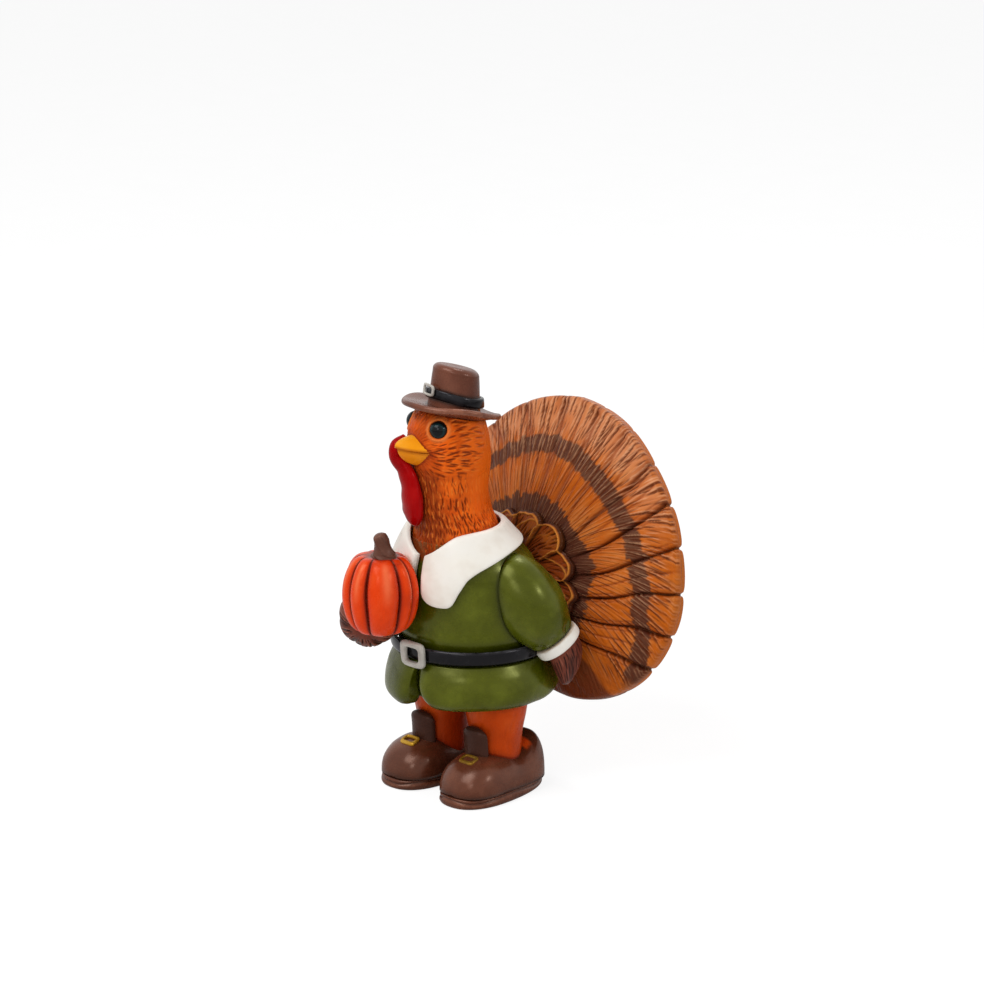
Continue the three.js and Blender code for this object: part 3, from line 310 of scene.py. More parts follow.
def rows_at(rows, x):
    """Columns of a row table at the places x: a cubic through the rows, level past the ends."""
    rows = np.asarray(rows, float)
    at, value = rows[:, 0], rows[:, 1:]
    x = np.clip(np.asarray(x, float), at[0], at[-1])
    reach = np.concatenate([at[1:2] - at[:1], at[2:] - at[:-2], at[-1:] - at[-2:-1]])
    rise = np.concatenate([value[1:2] - value[:1], value[2:] - value[:-2], value[-1:] - value[-2:-1]])
    slope = rise / reach[:, None]
    i = np.clip(np.searchsorted(at, x, "right") - 1, 0, len(at) - 2)
    span = (at[i + 1] - at[i])[..., None]
    t = (x - at[i])[..., None] / span
    mixed = value[i] + (value[i + 1] - value[i]) * t * t * (3 - 2 * t)
    bent = t * (1 - t) ** 2 * span * slope[i] + t * t * (t - 1) * span * slope[i + 1]
    return np.moveaxis(mixed + bent, -1, 0)


def ease(x, low, high):
    """0 below low, 1 above high, and a smooth S between."""
    t = np.clip((x - low) / (high - low), 0, 1)
    return t * t * (3 - 2 * t)


def mix(first, second, share):
    """A value between two, by a share."""
    return first + (second - first) * share


def bell(x, width):
    """1 in the middle, falling off as a Gaussian of the given width."""
    return np.exp(-((x / width) ** 2))


def quarter(t):
    """Quarter circle: level at 0 and upright at 1, held at both ends."""
    return 1 - np.sqrt(1 - np.clip(t, 0, 1) ** 2)


def capped(t, power):
    """Rounded end: 1 at 0, falling along a squarish circle to 0 at 1, held at both ends."""
    return (1 - np.clip(t, 0, 1) ** power) ** (1 / power)


def squarish(v, power):
    """The value to a power below 1, with its sign kept: turns a circle into a rounded square."""
    return np.sign(v) * np.abs(v) ** power


def cells(angle, count):
    """An angle counted in cells, with the given number of them round a full turn."""
    return angle * count / TAU


def chance(i, j, seed):
    """A random share for each whole-number cell: the part after the point of a large sine."""
    v = np.sin(i * 127.1 + j * 311.7 + seed * 74.7) * 43758.5453
    return v - np.floor(v)


def mottle(u, v, seed, wrap=0):
    """Smooth random field, 0 to 1: each cell's corner values blended by an S curve; columns wrap round."""
    i, j = np.floor(u), np.floor(v)
    a, b = ease(u - i, 0, 1), ease(v - j, 0, 1)
    left, right = (i % wrap, (i + 1) % wrap) if wrap else (i, i + 1)
    low = chance(left, j, seed) * (1 - a) + chance(right, j, seed) * a
    high = chance(left, j + 1, seed) * (1 - a) + chance(right, j + 1, seed) * a
    return low * (1 - b) + high * b


def uneven(u, v, seed, wrap=0):
    """Smooth random field about nothing, from -0.5 to 0.5."""
    return mottle(u, v, seed, wrap) - 0.5


def strokes(u, v, seed, width, length, tilt=0.0, wrap=0):
    """Carved strokes: one thin tilted mark at a random place in each cell; the deepest near one counts."""
    depth = np.zeros(np.broadcast(u, v).shape)
    for di in (-1, 0, 1):
        for dj in (-1, 0, 1):
            i, j = np.floor(u) + di, np.floor(v) + dj
            key = i % wrap if wrap else i
            x = u - i - 0.5 - 0.6 * (chance(key, j, seed) - 0.5)
            y = v - j - 0.5 - 0.6 * (chance(key, j, seed + 1) - 0.5)
            lean = tilt * (2 * chance(key, j, seed + 2) - 1)
            reach = length * mix(0.55, 1, chance(key, j, seed + 3))
            mark = bell(x - lean * y, width) * np.clip(1 - (y / reach) ** 2, 0, 1)
            depth = np.maximum(depth, mark * mix(0.5, 1, chance(key, j, seed + 4)))
    return depth


def crisp(marks):
    """Soft marks given clear edges, as paint left in a carved line."""
    return ease(marks, 0.14, 0.5)


def sided(name, side):
    """Name of a piece on the figure's left, +1, or right, -1."""
    return f"{name}_left" if side > 0 else f"{name}_right"


def turn_x(points, degrees):
    """Points turned about X."""
    c, s = np.cos(np.radians(degrees)), np.sin(np.radians(degrees))
    x, y, z = np.moveaxis(points, -1, 0)
    return np.stack([x, c * y - s * z, s * y + c * z], -1)


def turn_z(points, degrees):
    """Points turned about Z."""
    c, s = np.cos(np.radians(degrees)), np.sin(np.radians(degrees))
    x, y, z = np.moveaxis(points, -1, 0)
    return np.stack([c * x - s * y, s * x + c * y, z], -1)


def from_head(points):
    """Head frame to torso frame: turned to the figure's right, and set forward on the neck."""
    return turn_z(points, HEAD_TURN) + HEAD_AT


def from_hat(points):
    """Hat frame to torso frame: tilted back, and set on the head."""
    return from_head(turn_x(points, -HAT_TILT) + HAT_AT)


def from_crown(points):
    """Crown frame to torso frame: as the hat, but sheared forward with height so that it stands upright."""
    x, y, z = np.moveaxis(points, -1, 0)
    return from_hat(np.stack([x, y + CROWN_BACK - CROWN_SHEAR * z, z], -1))


def crown_radius(z):
    """Radius of the hat crown's wall at a height."""
    return CROWN_RADIUS - CROWN_TAPER * (z - CROWN_RADIUS_Z)


def from_tail(points):
    """Tail frame to torso frame: leaned back, and set behind the coat."""
    return turn_x(points, FAN_LEAN) + FAN_AT


def grid(first, second):
    """Two parameter lists as a grid: the first goes along the rings, the second round them."""
    return np.meshgrid(first, second, indexing="ij")


def around(count):
    """Angles evenly round a full turn, without the last."""
    return np.arange(count) * TAU / count


def unit(v):
    """Vectors brought to length 1."""
    return v / np.linalg.norm(v, axis=-1, keepdims=True)


def oval(rows, a, z, out=0.0):
    """Point of a stacked oval: half width by sine across, half depth by cosine forward, moved out."""
    rx, ry, cy = rows_at(rows, z)
    return np.stack([(rx + out) * np.sin(a), cy - (ry + out) * np.cos(a), z + 0 * a], -1)


def lathe(profile, a):
    """Turned body about Z: each radius and height pair of the profile carried round the angles."""
    r, angle = grid(profile[:, 0], a)
    return np.stack([r * np.sin(angle), -r * np.cos(angle), profile[:, 1:2] + 0 * angle], -1)


def ball(t, b, axis, flatness=1.0):
    """Unit ball, squashed along its axis: the cosine of t along the axis, its sine turned round by b."""
    across = unit(np.cross(UPRIGHT, axis))
    up = np.cross(axis, across)
    spin = np.cos(b)[..., None] * across + np.sin(b)[..., None] * up
    return flatness * np.cos(t)[..., None] * axis + np.sin(t)[..., None] * spin


def rounded(points, steps):
    """Smooth line through points: a cubic by share of the chord length."""
    points = np.asarray(points, float)
    chord = np.r_[0, np.cumsum(np.linalg.norm(np.diff(points, axis=0), axis=1))]
    return rows_at(np.c_[chord / chord[-1], points], np.linspace(0, 1, steps)).T


def limb(points, radii, steps, sides, level=UPRIGHT):
    """Tube along a smooth line through the points: half width across and half depth by share of the way."""
    middle = rounded(points, steps)
    along = unit(np.gradient(middle, axis=0))
    side = unit(np.cross(level, along))
    up = np.cross(along, side)
    b = around(sides)[None, :, None]
    r = rows_at(radii, np.linspace(0, 1, steps))
    width, depth = r[0][:, None, None], r[-1][:, None, None]
    return middle[:, None] + width * np.cos(b) * side[:, None] + depth * np.sin(b) * up[:, None]


def swollen(shape, factor):
    """Rings of a tube grown or shrunk about their own middles by a factor at each point."""
    middle = shape.mean(1, keepdims=True)
    return middle + (shape - middle) * factor[..., None]


def buckle(width, height, bar, place):
    """Rounded square frame: a square with soft corners carried round, its section a flattened bar."""
    a, b = grid(around(96), around(16))
    reach = bar / 2 * (squarish(np.cos(b), 0.7) - 1)
    across = (width / 2 + reach) * squarish(np.cos(a), 0.42)
    up = (height / 2 + reach) * squarish(np.sin(a), 0.42)
    return place(across, up, GAP + bar / 2 * (1 + squarish(np.sin(b), 0.7)))


# Shapes, in the torso frame, and the painted fields that they carry
SHAPES = {}
FIELDS = {}


def coat_body():
    """Stacked ovals of the coat, with a soft roll over the belt and slow dents."""
    z, a = grid(np.linspace(COAT_FOOT, COAT_TOP, 170), around(380))
    roll = 0.2 * bell(z - BELT_ROLL_Z, 1.1)
    dents = 0.16 * uneven(cells(a, 14), z / 3.2, seed=3, wrap=14)
    neck = ease(z, COAT_NECK_Z, COAT_NECK_Z + 1) * ease(np.cos(a), 0.6, 0.85)
    FIELDS["coat_body"] = {"neck": neck}
    return oval(COAT, a, z, roll + dents - COAT_SINK)


def belt():
    """Rounded strap section carried round the coat at the waist, with a painted highlight line along its
    upper edge.
    """
    a, b = grid(around(220), around(20))
    out = GAP + BELT_THICKNESS / 2 * (1 + squarish(np.cos(b), 0.8))
    up = BELT_HEIGHT / 2 * squarish(np.sin(b), 0.65)
    # Painted highlight along the belt's upper edge
    FIELDS["belt"] = {"lift": 0.8 * bell(b - BELT_HIGHLIGHT_TURN, 0.2)}
    return oval(COAT, a, BELT_Z + up, out)


def skirt_clear(z):
    """How far the skirt's top stands out from the coat at a height, and nothing above the skirt."""
    share = (SKIRT_TOP - z) / (SKIRT_TOP - HEM_Z)
    return np.where(z > SKIRT_TOP, 0, rows_at(SKIRT, share)[0] - rows_at(COAT, z)[1])


def belt_buckle():
    """Buckle frame wrapped on the belt's front, riding over the skirt's top."""
    def place(across, up, lift):
        ride = np.maximum(GAP + BELT_THICKNESS, skirt_clear(BELT_Z + up))
        return oval(COAT, across / WAIST_RADIUS, BELT_Z + up, ride + lift - BELT_BUCKLE_SINK)
    return buckle(*BELT_BUCKLE, place)


def skirt(side):
    """Puffed flap: a swollen section with a rolled hem, carried from the front slit round to the back."""
    low = HEM_Z if side > 0 else HEM_Z - RIGHT_FLAP_DROP
    share = np.linspace(0, 1, 150) ** 1.5
    straight = np.linspace(0, 1 - HEM_ROLL_PART, 22)
    bend = 1 - HEM_ROLL_PART * np.cos(np.linspace(0.1, 1, 12) * np.pi / 2)
    rise = np.linspace(0, 1, 12)
    s, d = grid(share, np.concatenate([straight, bend, 1 - rise]))
    outside = len(straight) + len(bend)
    inner = np.arange(outside + len(rise)) >= outside
    from_slit = s * SKIRT_SWEEP
    hem = low + SLIT_CORNER * quarter(1 - from_slit / SLIT_CORNER_SWEEP)
    z = mix(SKIRT_TOP, hem, d)
    roll = HEM_ROLL * quarter((d - (1 - HEM_ROLL_PART)) / HEM_ROLL_PART)
    ends = SLIT_ROLL * quarter(1 - from_slit / SLIT_ROLL_SWEEP)
    dents = 0.25 * uneven(s * 16, d * 2.2, seed=11 + side) * ease(d, 0, 0.3)
    outer = rows_at(SKIRT, d)[0] - roll - ends + dents - SKIRT_SINK
    r = np.where(inner, np.minimum(rows_at(COAT, z)[1] + GAP, outer - CLOTH_LEAST), outer)
    slit = np.radians(SLIT_TURN + SLIT_FLARE * (SKIRT_TOP - z) / (SKIRT_TOP - low))
    angle = side * mix(slit, np.pi - SKIRT_BACK_GAP, s)
    return np.stack([r * np.sin(angle), -r * np.cos(angle), z], -1)


def collar(side):
    """Collar panel: a plump plate between its two edge heights, laid on the coat from front to back."""
    share = np.linspace(0, 1, 180) ** 1.4
    s, b = grid(share, around(64))
    deg = COLLAR_START + COLLAR_SWEEP * s
    high, low = rows_at(COLLAR_EDGES, deg)
    down = 0.5 - 0.5 * squarish(np.cos(b), 0.3)
    corner = np.clip(1 - s * COLLAR_SWEEP / COLLAR_CORNER_SWEEP, 0, 1)
    plump = np.sqrt(1 - 0.85 * corner ** 2)
    out = GAP + COLLAR_THICKNESS / 2 * plump * (1 + squarish(np.sin(b), 0.55))
    out = out + COLLAR_PLUMP * np.sin(np.pi * down) * (np.sin(b) > 0) * plump
    return oval(COAT, side * np.radians(deg), mix(high, low, down), out)


def eye_middle(side):
    """Middle of an eye, sunk into the side of the head, in the head's frame."""
    return oval(HEAD, np.array(side * EYE_TURN), np.array(EYE_Z), -EYE_SUNK)


def head():
    """Stacked ovals with tight eyelids, and strokes carved back from the beak and down the neck."""
    z, a = grid(np.linspace(NECK_FOOT, HEAD_TOP, 250), around(390))
    place = oval(HEAD, a, z)
    front = np.cos(a)
    eyes = np.stack([eye_middle(1), eye_middle(-1)])
    from_eye = np.linalg.norm(place[None] - eyes[:, None, None], axis=-1).min(0)
    from_beak = np.linalg.norm(place - STROKES_FROM, axis=-1)
    bearing = np.arctan2(place[..., 0], place[..., 2] - MOUTH_Z) / TAU + 0.5
    bearing = bearing + STROKE_WANDER * uneven(cells(a, 9), z / 4, seed=7, wrap=9)

    on_face = ease(z, 52.5, 55.5) * ease(front, -0.7, -0.3)
    low = ease(51.5 - z, 0, 4)
    worn = mix(0.45, 1, ease(mottle(cells(a, 14), z / 2, seed=15, wrap=14), 0.2, 0.6))
    face = strokes(bearing * 40, from_beak / 1.9, seed=21, width=0.21, length=0.65, tilt=0.6, wrap=40)
    wisps = strokes(bearing * 55, from_beak / 1.5, seed=43, width=0.19, length=0.6, tilt=0.7, wrap=55)
    face = np.maximum(face, 0.85 * wisps) * mix(0.6, 1, ease(front, -0.4, 0.2))
    flecks = strokes(cells(a, 50) + 0.12 * z, z / 2.3, seed=31, width=0.18, length=0.65, tilt=0.7, wrap=50)
    short = strokes(cells(a, 64) + 0.12 * z, z / 1.3, seed=37, width=0.19, length=0.55, tilt=0.8, wrap=64)
    neck = np.maximum(flecks, short * mix(0.55, 1, low))
    neck = neck * np.clip(0.45 + ease(front, -0.2, 0.5) + 0.3 * low, 0, 1)
    ruffled = strokes(cells(a, 40) - 0.25 * z, z / 1.6, seed=45, width=0.22, length=0.6, tilt=0.7, wrap=40)
    forehead = ruffled * ease(z, FOREHEAD_Z, FOREHEAD_Z + 1) * ease(front, 0.35, 0.6)
    carve = np.maximum(mix(neck, face, on_face), forehead) * worn
    carve = carve * ease(from_eye, 1.8, 2.1) * ease(from_beak, 2, 3)

    pale_face = strokes(
        bearing * 55 + 0.5, from_beak / 1.9, seed=47, width=0.15, length=0.5, tilt=0.6, wrap=55,
    )
    pale_neck = strokes(cells(a, 46) + 0.5, z / 1.8, seed=49, width=0.15, length=0.5, tilt=0.7, wrap=46)
    pale = np.maximum(pale_face * on_face, pale_neck * (1 - on_face))
    # Painted shade in a band under the cheek, along the jaw
    jaw = 0.9 * bell(z - JAW_Z - 0.8 * front, 0.9) * mix(0.4, 1, mottle(cells(a, 30), z, seed=18, wrap=30))
    patches = ease(mottle(cells(a, 18), z / 1.6, seed=19, wrap=18), 0.45, 0.75)
    FIELDS["head"] = {
        "carve": ease(carve, 0.11, 0.6),
        "pale": crisp(pale) * ease(from_eye, 1.9, 2.6) * ease(from_beak, 2.6, 4) * worn,
        "lid": bell(from_eye - 1.8, 0.3),
        # Painted highlight: lighter orange on the sides and back of the neck
        "neck_side_highlight": ease(front, 0.75, 0.1) * ease(z, 47, 55),
        "brow": ease(front, 0.55, 0.95) * ease(z, MOUTH_Z, 61),
        # Painted shade down the front of the throat, under the beak
        "throat_shade": ease(front, 0.5, 0.85) * ease(56.5 - z, 0, 3),
        "shadow": np.maximum(patches, jaw) * ease(front, -0.3, 0.4),
    }

    slow = 0.16 * uneven(cells(a, 12), z / 3, seed=5, wrap=12)
    lid = LID_HEIGHT * bell(from_eye - LID_RADIUS, 0.24)
    socket = SOCKET_DEPTH * ease(1.6 - from_eye, 0, 0.3)
    shape = oval(HEAD, a, z, lid - STROKE_DEPTH * carve - socket + slow - HEAD_SINK)
    under_hat = HAT_AT[2] + UNDER_HAT - UNDER_HAT_SLOPE * (shape[..., 1] - HAT_AT[1])
    shape[..., 2] = np.minimum(shape[..., 2], under_hat)
    return from_head(shape)


def eye(side):
    """Flattened ball with its pole outward, and an iris and a pupil by angle from the pole."""
    t, b = grid(np.linspace(POLE, np.pi - POLE, 40), around(48))
    look = unit(np.array([side * np.sin(EYE_TURN), -np.cos(EYE_TURN), EYE_LIFT]))
    FIELDS[sided("eye", side)] = {"iris": bell(t - 0.78, 0.13), "pupil": bell(t, 0.4)}
    return from_head(eye_middle(side) + EYE_RADIUS * ball(t, b, look, EYE_FLATNESS))


def beak_half(tip, height):
    """Half a blunt cone: arches narrowing as an ellipse to the tip, with a mouth side that turns up."""
    t, b = grid(np.sin(np.linspace(0, np.pi / 2, 40)), around(64))
    sign = np.sign(height)
    blunt = BEAK_BLUNTNESS * t
    taper = np.sqrt(np.maximum(1 - blunt ** 2.2, 0))
    narrow = np.maximum(1 - blunt ** 1.4, 0) ** 0.75
    arch = np.where(np.sin(b) > 0, (1 - np.abs(np.cos(b)) ** 1.7) ** 0.8, 0)
    full = 1 if sign > 0 else mix(0.35, 1, ease(t, 0, 0.5))
    x = BEAK_HALF_WIDTH * narrow * squarish(np.cos(b), 0.9)
    y = -mix(BEAK_FOOT, tip, t)
    line = MOUTH_Z - MOUTH_DIP + MOUTH_RISE * t ** 2
    z = line + sign * MOUTH_HALF_GAP + height * taper * arch * full
    edge = ease(0.22 - arch * taper, 0, 0.2)
    if sign > 0:
        # Painted highlight along the top ridge of the upper beak, near its root
        FIELDS["beak_upper"] = {"carve": edge, "ridge_highlight": ease(arch, 0.8, 1) * ease(t, 0, 0.4)}
    else:
        FIELDS["beak_lower"] = {"carve": edge}
    return from_head(np.stack([x, y, z], -1))


def snood():
    """Fleshy flap along its path, wider than deep, with slow swellings and painted shade along one side of
    its lower half.
    """
    shape = limb(SNOOD_PATH, SNOOD, 130, 44, SNOOD_LEVEL)
    s, b = grid(np.linspace(0, 1, 130), around(44))
    waves = 0.03 * np.sin(s * 29) * ease(s, 0.25, 0.5)
    dents = 0.08 * uneven(s * 9, cells(b, 5), seed=41, wrap=5)
    # Painted shade: darker purple down the snood's side on the figure's right, over its lower half
    FIELDS["snood"] = {"edge": bell(np.cos(b) + 1, 0.35) * ease(s, 0.5, 0.8)}
    return from_head(swollen(shape, 1 + waves + dents))


def hat_brim():
    """Turned disc with a rounded edge, dished up towards its two sides and the back, with a painted
    highlight along its edge on the figure's left.
    """
    half = BRIM_THICKNESS / 2
    flat = np.linspace(BRIM_HOLE, BRIM_FLAT, 24)
    dish = BRIM_DISH * ease(flat, 4.5, 7.7)
    edge = np.linspace(-np.pi / 2, np.pi / 2, 13)
    under = np.c_[flat, dish]
    rim = np.c_[BRIM_RADIUS + half * np.cos(edge), BRIM_DISH + half + half * np.sin(edge)]
    over = np.c_[flat, BRIM_THICKNESS + dish][::-1]
    shape = lathe(np.concatenate([under, rim, over]), around(170))
    r = np.hypot(shape[..., 0], shape[..., 1])
    turn = np.arctan2(shape[..., 0], -shape[..., 1])
    wave = 0.75 * np.sin(turn) ** 2 + 0.3 * np.cos(turn - 2.4) - 0.3 + 0.1 * np.cos(5 * turn)
    shape[..., 2] += wave * ease(r, 4, 8)
    # Painted highlight along the outer edge of the brim, on the figure's left
    FIELDS["hat_brim"] = {"lift": 0.8 * ease(r, 7.2, 7.9) * ease(np.sin(turn), 0.2, 0.9)}
    return from_hat(shape)


def hat_crown():
    """Turned cone with a softly rounded top, slightly dented."""
    height = np.linspace(CROWN_FOOT, CROWN_WALL_TOP, 34)
    bend = np.linspace(0, np.pi / 2, 14)
    inward = np.linspace(CROWN_FLAT_EDGE, 0.05, 10)
    wall = np.c_[crown_radius(height), height]
    top_radius = CROWN_FLAT + CROWN_BEND_WIDTH * np.cos(bend)
    top = np.c_[top_radius, CROWN_BEND_Z + CROWN_BEND_HEIGHT * np.sin(bend)]
    flat = np.c_[inward, CROWN_TOP - CROWN_DENT * ease(CROWN_FLAT - inward, 0, 2)]
    shape = lathe(np.concatenate([wall, top, flat]), around(130))
    turn = np.arctan2(shape[..., 0], -shape[..., 1])
    dents = 0.035 * uneven(cells(turn, 7) + 7, shape[..., 2] / 3, seed=45, wrap=7)
    shape[..., :2] *= (1 + dents)[..., None]
    return from_crown(shape)


def hat_band():
    """Flat ribbon with rounded edges round the crown's foot."""
    a, b = grid(around(140), around(16))
    z = RIBBON_FOOT + RIBBON_HALF_HEIGHT * (1 + squarish(np.sin(b), 0.5)) + 0.08 * np.sin(3 * a)
    r = crown_radius(z) + RIBBON_HALF_THICKNESS * (1 + squarish(np.cos(b), 0.5))
    return from_crown(np.stack([r * np.sin(a), -r * np.cos(a), z], -1))


def hat_buckle():
    """Buckle frame wrapped on the front of the hat band."""
    def place(across, up, lift):
        z = HAT_BUCKLE_Z + up
        r = crown_radius(z) + HAT_BUCKLE_OUT + lift
        turn = across / HAT_BUCKLE_BEND + HAT_BUCKLE_TURN
        return from_crown(np.stack([r * np.sin(turn), -r * np.cos(turn), z], -1))
    return buckle(*HAT_BUCKLE, place)


def sleeve(points, radii):
    """Full sleeve along the arm, gathered at the cuff, with slow creases below the shoulder."""
    s, b = grid(np.linspace(0, 1, 170), around(170))
    gathers = 0.05 * bell(s - 0.95, 0.04) * np.cos(9 * b)
    creases = 0.05 * uneven(s * 5 + np.cos(b), cells(b, 5), seed=51, wrap=5) * ease(s, 0.2, 0.6)
    return swollen(limb(points, radii, 170, 170), 1 + gathers + creases)


def cuff(start, along):
    """Cuff: a plump rounded band about the arm's axis."""
    across = unit(ACROSS - along * np.dot(ACROSS, along))
    up = np.cross(along, across)
    s, b = grid(np.linspace(-np.pi / 2, np.pi / 2, 24), around(80))
    reach = CUFF_WIDTH / 2 * (1 + squarish(np.sin(s), 0.6))
    r = CUFF_RADIUS - CUFF_ROUND + CUFF_ROUND * np.cos(s) ** 0.6
    ring = np.cos(b)[..., None] * up + np.sin(b)[..., None] * across
    return start + reach[..., None] * along + r[..., None] * ring


def wing_hand(start, along):
    """Flattened wing tip: finger grooves along it that deepen to the tip, and carved lines."""
    across = unit(ACROSS - along * np.dot(ACROSS, along))
    up = np.cross(along, across)
    s, b = grid(np.linspace(0, 1, 90), around(160))
    r, flat = rows_at(HAND, s)
    grooves = 1 - np.abs(np.sin(2.5 * np.arccos(np.clip(np.cos(b), -1, 1)))) ** 0.5
    lines = strokes(cells(b, 26), s * 2.2, seed=55, width=0.2, length=0.75, tilt=0.4, wrap=26)
    lines = lines * ease(s, 0.02, 0.15)
    r = r * (1 - 0.13 * grooves * ease(s, 0.1, 0.6)) - 0.05 - 0.18 * lines
    FIELDS["wing_hand_left"] = {
        "carve": np.maximum(grooves * ease(s, 0.05, 0.4), crisp(lines)),
        "lift": strokes(cells(b, 30), s * 2.4, seed=57, width=0.13, length=0.55, tilt=0.4, wrap=30),
    }
    place = start + (HAND_LENGTH * s)[..., None] * along + (s * s)[..., None] * HAND_BEND
    return place + (r * np.cos(b))[..., None] * up + (flat * r * np.sin(b))[..., None] * across


def palm():
    """Cupped hand: a ball with finger grooves and carved lines that run from the wrist over its front."""
    t, b = grid(np.linspace(POLE, np.pi - POLE, 110), around(180))
    off_pole = ease(np.sin(t), 0.3, 0.6)
    grooves = (1 - np.abs(np.sin(3 * b)) ** 0.45) * ease(np.sin(t), 0.2, 0.7)
    lines = strokes(cells(b, 30), t * 1.6, seed=58, width=0.2, length=0.75, tilt=0.5, wrap=30) * off_pole
    ridges = strokes(cells(b, 30) - 0.4, t * 1.6, seed=58, width=0.14, length=0.75, tilt=0.5, wrap=30)
    carve = np.maximum(grooves, crisp(lines))
    FIELDS["wing_hand_right"] = {"carve": carve, "lift": 0.8 * crisp(ridges) * off_pole}
    r = PALM_RADIUS * (1 - 0.07 * carve)
    return PALM_AT + r[..., None] * ball(t, b, unit(RIGHT_ELBOW - PALM_AT))


def pumpkin():
    """Ribbed gourd: a ball of plump uneven lobes, with sharp grooves between them and dimpled poles."""
    t, a = grid(np.linspace(0.05, np.pi - 0.05, 120), around(540))
    from_front = (a - PUMPKIN_FRONT + np.pi) % TAU - np.pi
    sway = 0.06 * uneven(cells(a, 9), t * 1.5, seed=61, wrap=9) * np.sin(t)
    sway = sway - 0.07 * np.sin(3 * (a - PUMPKIN_FRONT)) - 0.2 * bell(from_front - 0.75, 0.5)
    turn = PUMPKIN_LOBES / 2 * (a + sway - PUMPKIN_TURN)
    plump = np.abs(np.sin(turn))
    number = np.floor(turn / np.pi) % PUMPKIN_LOBES
    swell = 1 + 0.03 * (chance(number, 1, 63) - 0.5)
    groove = 0.19 * (1 - plump ** 0.6) * np.sin(t) ** 0.3
    r = PUMPKIN_RADIUS * np.sin(t) ** 0.72 * (1 - groove) * swell
    c = np.cos(t)
    z = PUMPKIN_HALF_HEIGHT * c - PUMPKIN_DIMPLE * c ** 10 * np.sign(c)
    FIELDS["pumpkin"] = {
        # Painted shade spreading from the grooves over the sides of each lobe
        "valley_shade": ease(0.75 - plump, 0, 0.6),
        "carve": np.maximum(ease(0.36 - plump, 0, 0.24), 0.7 * ease(np.abs(c), 0.93, 0.99)),
        # Painted highlight: a pale streak on the upper part of each lobe, to one side
        "highlight_streak": bell(turn / np.pi - number - 0.62, 0.1) * ease(c, -0.2, 0.45) * ease(0.92 - c, 0, 0.2),
    }
    return np.stack([r * np.cos(a), r * np.sin(a), z], -1) + PUMPKIN_AT


def pumpkin_stem():
    """Flared stem with ribs along it, leaning away from the collar and rounded at its end."""
    shape = limb(PUMPKIN_AT + STEM_FOOT + np.array(STEM_PATH), STEM, 70, 80)
    s, b = grid(np.linspace(0, 1, 70), around(80))
    rib = 1 - 0.12 * np.abs(np.sin(2.5 * b + 2 * s)) ** 0.5
    FIELDS["pumpkin_stem"] = {"carve": ease(rib, 0.93, 1), "lift": 0.6 * ease(s, 0.75, 1)}
    return swollen(shape, rib)


def leg(side):
    """Round leg that widens up to the coat, with a few shallow upright strokes and painted shade on its
    inner side.
    """
    s, b = grid(np.linspace(0, 1, 90), around(120))
    carve = 0.6 * strokes(cells(b, 16), s * 4, seed=71, width=0.14, length=0.5, tilt=0.4, wrap=16)
    dents = 0.12 * uneven(cells(b, 6), s * 3, seed=73, wrap=6)
    r = rows_at(LEG, s)[0] - 0.16 * carve + dents
    # Painted shade: darker down the inner side of each leg, towards the other leg
    FIELDS[sided("leg", side)] = {"carve": carve, "inner": ease(-side * np.cos(b), 0.1, 0.9)}
    x = side * (SHOE_X - LEG_INSET) + r * np.cos(b)
    y = SHOE_Y + LEG_BACK + r * np.sin(b)
    return np.stack([x, y, mix(UPPER_FLOOR + GAP, LEG_TOP, s)], -1)


def sole(side):
    """Sole of two layers: a rounded oval outline, narrower at the heel, with a wavy groove between them."""
    level, a = grid(np.linspace(0, SOLE_TOP, 48), around(220))
    inset = rows_at(SOLE_EDGE, level)[0]
    y = (SOLE_HALF_LENGTH - inset) * squarish(np.sin(a), SOLE_SQUARENESS)
    narrow = 1 - SOLE_NARROWING * y / SOLE_HALF_LENGTH
    x = (SOLE_HALF_WIDTH - inset) * narrow * squarish(np.cos(a), SOLE_SQUARENESS)
    wave = 0.25 * np.sin(a * 4 + 2 * side) + 0.25 * uneven(cells(a, 15), 0 * a, seed=75, wrap=15)
    z = level + wave * bell(level - 1.1, 0.6) * ease(level, 0, 0.5) - 0.1 * ease(level, 1.6, SOLE_TOP)
    FIELDS[sided("shoe_sole", side)] = {
        # Dark in the groove between the layers, and painted shade towards the top, under the upper
        "wash_and_shade": np.maximum(0.6 * bell(level - 1.18, 0.12), 0.8 * ease(level, 1.65, 1.85)),
        # Painted highlight in a band round the bulge of the lower layer
        "lift": 0.35 * bell(level - 0.8, 0.15),
    }
    return np.stack([x + side * SHOE_X, y + SHOE_Y, z], -1)


def upper_width(y):
    """Half width of the shoe upper along it: full in the middle, rounded at toe and heel."""
    toe = capped((TOE_SIDE[0] - y) / TOE_SIDE[1], 2.5)
    heel = capped((y - HEEL_SIDE[0]) / HEEL_SIDE[1], 2.6)
    return UPPER_HALF_WIDTH * toe * heel


def upper_height(y):
    """Height of the shoe upper along it: bulbous toe, low instep and high heel."""
    toe = capped((TOE_CAP[0] - y) / TOE_CAP[1], 2.1)
    heel = capped((y - HEEL_CAP[0]) / HEEL_CAP[1], 2.4)
    return rows_at(UPPER, y)[0] * toe * heel


def upper_top(x, y):
    """Height of the upper's skin at a place across and along it."""
    share = np.abs(x) / np.maximum(upper_width(y), 1e-3)
    return UPPER_FLOOR + upper_height(y) * capped(share, UPPER_SHOULDER)


